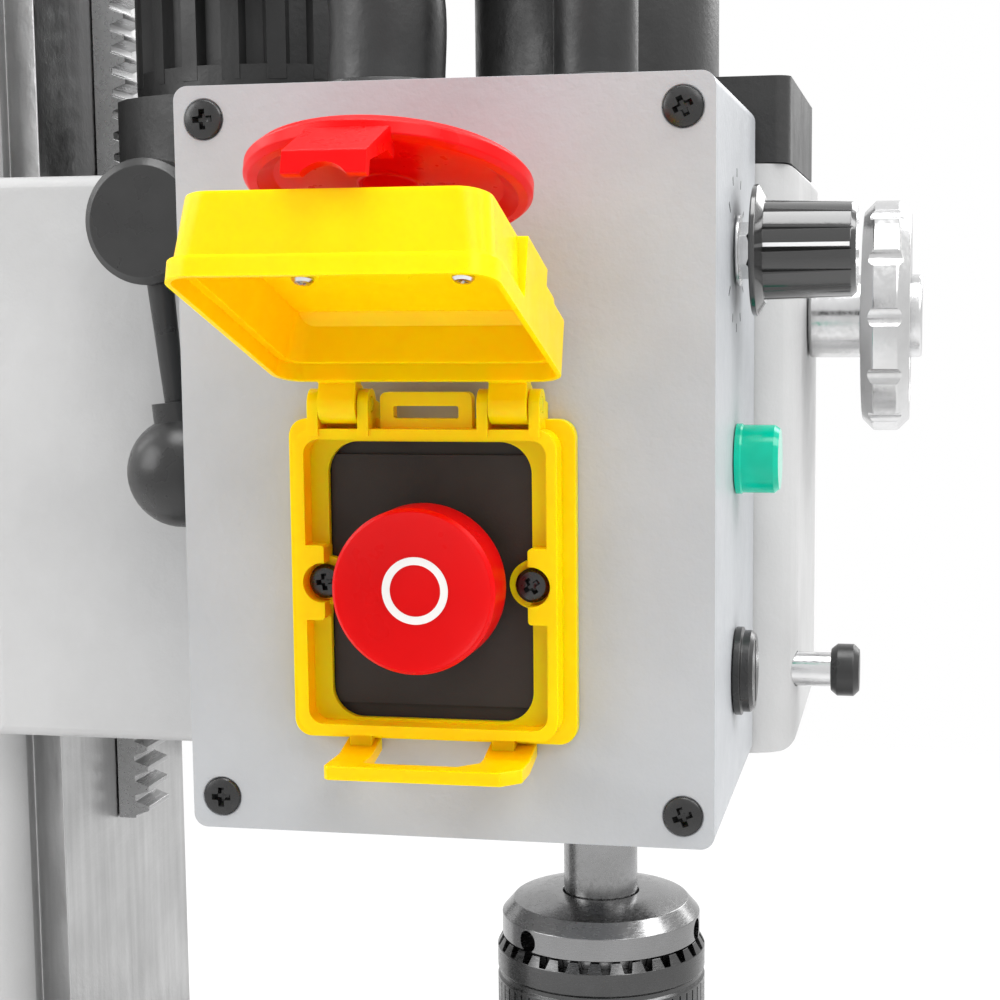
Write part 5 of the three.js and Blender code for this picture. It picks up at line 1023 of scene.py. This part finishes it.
def conduit(u, radius, pitch, end, curve):
    """A tube from the box's top to its end, by shares of the way along each axis."""
    start = (CONTROL_DEPTH - PLATE_STANDOFF, BOX_BACK - u, BOX_HEIGHT / 2 + GAP + 2)
    path = [tuple(a + (b - a) * share for a, b, share in zip(start, end, row)) for row in curve]
    return tube([*path, (end[0] - GAP, end[1], end[2])], radius, pitch)


for label, u, radius, pitch, end, curve in CONDUITS:
    piece(f"{label}_conduit_tube", conduit(u, radius, pitch, end, curve), HEAD, SATIN_BLACK, "head",
          [f"{label}_conduit"])
    piece(f"{label}_conduit_gland", foot(u, radius), HEAD, BLACK, "head", bevel=0.25)


# Head: cap, lever, fine feed wheel, clamp screw

CAP_RADIUS = 34.6
LEVER_Y, LEVER_Z = 101.5, 57
BALL_Y, BALL_Z = 95, -7
BALL_RADIUS = 14.5
NECK_SHARE = 0.42
HUB_RADIUS = 16
WHEEL_Z = 31
WHEEL_START = 60.8
WHEEL_RADIUS = 32
WHEEL_GRIPS = 12


def drawbar_cap():
    top = MOTOR_FLOOR + CAP_HEIGHT
    lip = MOTOR_FLOOR + 3
    profile = [(32, MOTOR_FLOOR), (35, MOTOR_FLOOR), (35, lip), (CAP_RADIUS, lip + 0.6),
               (CAP_RADIUS, top - 4), (33, top - 0.6), (30.5, top), (0, top), (0, top - 3), (32, top - 3),
               (32, MOTOR_FLOOR)]
    return turned(profile, steps=128, soften=0.8)


def lock_lever():
    """The hub on the head's side, and an arm with a ball that hangs down from it."""
    face = -64 - GAP
    inner = face - 12
    outer = inner - 15
    hub = turned([(0, outer), (14, outer), (HUB_RADIUS, outer + 2), (HUB_RADIUS, inner - 2), (14, inner),
                  (11.2, inner), (11.2, face), (6, face), (6, -50.3), (0, -50.3)], "x", soften=0.6,
                 place=moved(0, LEVER_Y, LEVER_Z))
    run = math.hypot(LEVER_Y - BALL_Y, LEVER_Z - BALL_Z)
    lean = math.atan2(LEVER_Y - BALL_Y, LEVER_Z - BALL_Z)
    collar = run - BALL_RADIUS - 3.6
    ball = arc(0, run, BALL_RADIUS, -math.acos(NECK_SHARE), math.pi / 2, 20)
    profile = [(0, 8), (3.6, 8), (2.7, collar), (BALL_RADIUS * NECK_SHARE, collar),
               (BALL_RADIUS * NECK_SHARE, ball[0][1])]
    arm = turned(profile + ball[1:-1] + [(0, run + BALL_RADIUS)], steps=64)
    place = moved((inner + outer) / 2, LEVER_Y, LEVER_Z)
    arm.data.transform(place @ Matrix.Rotation(math.pi - lean, 4, "X"))
    return union(hub, arm)


def fine_wheel():
    face = WHEEL_START + 15
    end = face + 13
    hub = end + 3.2
    profile = [(0, -48.5), (6, -48.5), (6, -WHEEL_START), (11.5, -WHEEL_START), (11.5, -face), (28.8, -face),
               (WHEEL_RADIUS, -face - 3.2), (WHEEL_RADIUS, -end + 3.2), (28.8, -end), (25.5, -end),
               (22.2, -end + 4), (11.5, -end + 4), (11.5, -hub), (0, -hub)]
    grips = [rod(3.2, -end - OVERRUN, -face + OVERRUN, "y", 32,
                 Matrix.Rotation(TAU * i / WHEEL_GRIPS, 4, "Y") @ moved(WHEEL_RADIUS + 1.9))
             for i in range(WHEEL_GRIPS)]
    return cut(turned(profile, "y", 128, soften=1.0), *grips)


def clamp_pin():
    return turned([(0, -70.2), (4.6, -70.2), (4.6, -46.8), (0, -46.8)], "y", 48, soften=0.4)


def clamp_knob():
    return turned([(0, -77), (5.5, -77), (7, -75.5), (7, -71.2), (5.6, -69.5), (0, -69.5)], "y", 64,
                  soften=0.4)


piece("drawbar_cap_cover", drawbar_cap(), HEAD, SATIN_BLACK, "head", ["drawbar_cap"])
piece("lock_lever_arm", lock_lever(), HEAD, BLACK, "lock_lever", ["head_lock_lever"],
      bevel=0.3)
piece("fine_wheel_grip", fine_wheel(), HEAD @ moved(z=WHEEL_Z), BRIGHT, "fine_feed",
      ["fine_feed_wheel"], bevel=0.5)
clamp_place = HEAD @ moved(-38, 0, -63)
piece("clamp_pin", clamp_pin(), clamp_place, BRIGHT, "clamp", ["clamp_screw"])
piece("clamp_knob", clamp_knob(), clamp_place, BLACK, "clamp")


# Chuck

CHUCK_TOP = -139
SLEEVE_TOP = CHUCK_TOP - 13
SLEEVE_BOTTOM = SLEEVE_TOP - 46
CHUCK_BOTTOM = CHUCK_TOP - 83
SLEEVE_RADIUS = 31
SLEEVE_BORE = 27
SLEEVE_TEETH = 30
SLEEVE_GROOVES = 60
KEY_HOLES = 3
JAWS = 3
JAW_REACH = 10


def chuck_body():
    shoulder = SLEEVE_TOP + GAP
    floor = CHUCK_TOP - 6.3
    profile = [(11.3, CHUCK_TOP), (18.3, CHUCK_TOP), (26, CHUCK_TOP - 2), (29.5, CHUCK_TOP - 6),
               (29.5, shoulder), (26.7, shoulder), (26.7, SLEEVE_BOTTOM), (16, CHUCK_BOTTOM),
               (13, CHUCK_BOTTOM), (23.7, SLEEVE_BOTTOM + 7), (23.7, SLEEVE_TOP - 7), (0, SLEEVE_TOP - 7),
               (0, floor), (11.3, floor), (11.3, CHUCK_TOP)]
    body = turned(profile, steps=128, soften=0.5)
    holes = [rod(3.2, 20, 34, "x", 32, Matrix.Rotation(TAU * i / KEY_HOLES + 0.4, 4, "Z")
                 @ moved(z=SLEEVE_TOP + 3.4)) for i in range(KEY_HOLES)]
    return cut(body, *holes)


def chuck_sleeve():
    """The sleeve with its teeth for the key, two grooves round it and a straight knurl between them."""
    low = SLEEVE_BOTTOM + 9
    high = SLEEVE_TOP - 12
    groove = SLEEVE_RADIUS - 0.6
    profile = [(SLEEVE_BORE, SLEEVE_BOTTOM), (28.3, SLEEVE_BOTTOM), (SLEEVE_RADIUS, SLEEVE_BOTTOM + 4),
               (SLEEVE_RADIUS, low), (groove, low + 0.8), (groove, low + 2), (SLEEVE_RADIUS, low + 2.8),
               (SLEEVE_RADIUS, high), (groove, high + 0.8), (groove, high + 2), (SLEEVE_RADIUS, high + 2.8),
               (SLEEVE_RADIUS, SLEEVE_TOP - 3), (29.4, SLEEVE_TOP), (SLEEVE_BORE, SLEEVE_TOP),
               (SLEEVE_BORE, SLEEVE_BOTTOM)]
    cutters = []
    for i in range(SLEEVE_TEETH):
        tooth = loft([(27, -1.0), (34, -1.2), (34, 1.2), (27, 1.0)], SLEEVE_TOP - 2.8,
                     [(26, -1.9), (34, -2.2), (34, 2.2), (26, 1.9)], SLEEVE_TOP + 1)
        cutters.append(spun(tooth, TAU * i / SLEEVE_TEETH))
    for i in range(SLEEVE_GROOVES):
        line = box(30.55, 33, -0.28, 0.28, SLEEVE_BOTTOM + 12.4, SLEEVE_TOP - 12.6)
        cutters.append(spun(line, TAU * (i + 0.5) / SLEEVE_GROOVES))
    return cut(turned(profile, steps=144, soften=0.3), *cutters)


def chuck_jaw(index):
    tip = CHUCK_BOTTOM - JAW_REACH
    high = tip + 34
    slope = math.tan(math.pi / 10)
    back = 13 - 3 * GAP - JAW_REACH * slope
    top = back + 34 * slope
    section = [(4, tip), (back - 0.8, tip), (back, tip + 1.2), (top, high), (top - 8, high),
               (4, tip + (12 - back) / slope)]
    return spun(prism(section, -3, 3, "y"), TAU * index / JAWS)


piece("chuck_shell", chuck_body(), HEAD, CHUCK_STEEL, "spindle", ["chuck_body"])
piece("chuck_key_sleeve", chuck_sleeve(), HEAD, SLEEVE_STEEL, "sleeve", ["chuck_sleeve"])
for index in range(JAWS):
    piece(f"chuck_hard_jaw_{index + 1}", chuck_jaw(index), HEAD, BRIGHT, f"jaw_{index + 1}",
          [f"chuck_jaw_{index + 1}"], bevel=0.3)


# Camera, as the photograph was taken

FOCAL = 1959
PRINCIPAL = (533.7, 532.9)
CAMERA_PLACE = (-562.3, -94.8, 474.6)
YAW, PITCH, ROLL = (math.radians(a) for a in (11.5, -6.85, -0.5))
IMAGE = 1000
SENSOR = 36

ahead = Vector((math.cos(YAW) * math.cos(PITCH), math.sin(YAW) * math.cos(PITCH), math.sin(PITCH)))
level_right = ahead.cross(Vector((0, 0, 1))).normalized()
level_up = level_right.cross(ahead)
right = math.cos(ROLL) * level_right + math.sin(ROLL) * level_up
up = -math.sin(ROLL) * level_right + math.cos(ROLL) * level_up
lens_data = bpy.data.cameras.new("camera")
camera = linked("camera", lens_data)
turn = Matrix((right, up, -ahead)).transposed().to_4x4()
camera.matrix_world = Matrix.Translation(Vector(CAMERA_PLACE) * MM) @ turn
lens_data.sensor_width = SENSOR
lens_data.lens = FOCAL * SENSOR / IMAGE
lens_data.shift_x = (IMAGE / 2 - PRINCIPAL[0]) / IMAGE
lens_data.shift_y = (PRINCIPAL[1] - IMAGE / 2) / IMAGE
lens_data.clip_start = 0.05
bpy.context.scene.camera = camera


# Stage and light

FLOOR_RADIUS = 2.6
FLOOR_DROP = 0.0005
SHADOW_NEAR, SHADOW_FAR = 0.45, 1.5
SHADOW_GLOW = 0.35
WHITE = (1, 1, 1, 1)


def seen_directly(nodes, links):
    """One for camera, mirror and glass rays, nought for all others."""
    path = nodes.new("ShaderNodeLightPath")
    total = path.outputs["Is Camera Ray"]
    for name in ("Is Glossy Ray", "Is Transmission Ray"):
        add = nodes.new("ShaderNodeMath")
        add.operation = "MAXIMUM"
        links.new(total, add.inputs[0])
        links.new(path.outputs[name], add.inputs[1])
        total = add.outputs["Value"]
    return total


def make_world(fill):
    world = bpy.data.worlds.new("studio")
    world.use_nodes = True
    bpy.context.scene.world = world
    nodes, links = world.node_tree.nodes, world.node_tree.links
    output = nodes["World Output"]
    fill_light = nodes["Background"]
    put(fill_light, Color=WHITE, Strength=fill)
    white = nodes.new("ShaderNodeBackground")
    put(white, Color=WHITE, Strength=1)
    mix = nodes.new("ShaderNodeMixShader")
    links.new(seen_directly(nodes, links), mix.inputs["Fac"])
    links.new(fill_light.outputs["Background"], mix.inputs[1])
    links.new(white.outputs["Background"], mix.inputs[2])
    links.new(mix.outputs["Shader"], output.inputs["Surface"])


def make_floor():
    """A pale floor that keeps the shadow and fades to plain white away from it."""
    points = [(x, y, -FLOOR_DROP) for x, y in disc(FLOOR_RADIUS, 96)]
    mesh = bpy.data.meshes.new("floor")
    mesh.from_pydata(points, [], [list(range(len(points)))])
    floor = linked("floor", mesh)
    material = bpy.data.materials.new("floor_white")
    material.use_nodes = True
    nodes, links = material.node_tree.nodes, material.node_tree.links
    paint = nodes["Principled BSDF"]
    put(paint, Base_Color=(0.86, 0.86, 0.86, 1), Roughness=0.9)
    glow = nodes.new("ShaderNodeEmission")
    put(glow, Color=WHITE, Strength=1)
    place = nodes.new("ShaderNodeTexCoord")
    distance = nodes.new("ShaderNodeVectorMath")
    distance.operation = "LENGTH"
    links.new(place.outputs["Object"], distance.inputs[0])
    fade = nodes.new("ShaderNodeMapRange")
    put(fade, From_Min=SHADOW_NEAR, From_Max=SHADOW_FAR, To_Min=SHADOW_GLOW, To_Max=1)
    links.new(distance.outputs["Value"], fade.inputs["Value"])
    share = nodes.new("ShaderNodeMath")
    share.operation = "MULTIPLY"
    links.new(seen_directly(nodes, links), share.inputs[0])
    links.new(fade.outputs["Result"], share.inputs[1])
    mix = nodes.new("ShaderNodeMixShader")
    links.new(share.outputs["Value"], mix.inputs["Fac"])
    links.new(paint.outputs["BSDF"], mix.inputs[1])
    links.new(glow.outputs["Emission"], mix.inputs[2])
    links.new(mix.outputs["Shader"], nodes["Material Output"].inputs["Surface"])
    floor.data.materials.append(material)


def lamp(name, place, target, size, power):
    data = bpy.data.lights.new(name, "AREA")
    data.shape = "RECTANGLE"
    data.size = data.size_y = size
    data.energy = power
    obj = linked(name, data)
    obj.location = place
    obj.rotation_mode = "QUATERNION"
    obj.rotation_quaternion = (Vector(target) - Vector(place)).to_track_quat("-Z", "Y")


make_world(0.5)
make_floor()

# Name, place, target, side and power
LAMPS = (
    ("top", (-0.25, 0.0, 1.75), (-0.15, 0, 0.45), 0.9, 16),
    ("key", (-1.3, -0.9, 1.7), (0, 0, 0.4), 1.0, 13),
    ("front", (-0.1, -1.35, 1.75), (-0.05, 0, 0.45), 0.9, 17),
    ("side", (-0.9, 1.4, 1.1), (0, 0.05, 0.4), 1.0, 12),
    ("right", (1.6, -0.8, 1.4), (0, 0.05, 0.35), 1.1, 16),
    ("back", (0.6, 1.7, 1.6), (0, 0.1, 0.4), 1.1, 14),
)
for row in LAMPS:
    lamp(*row)

bpy.context.scene.view_settings.view_transform = "Standard"
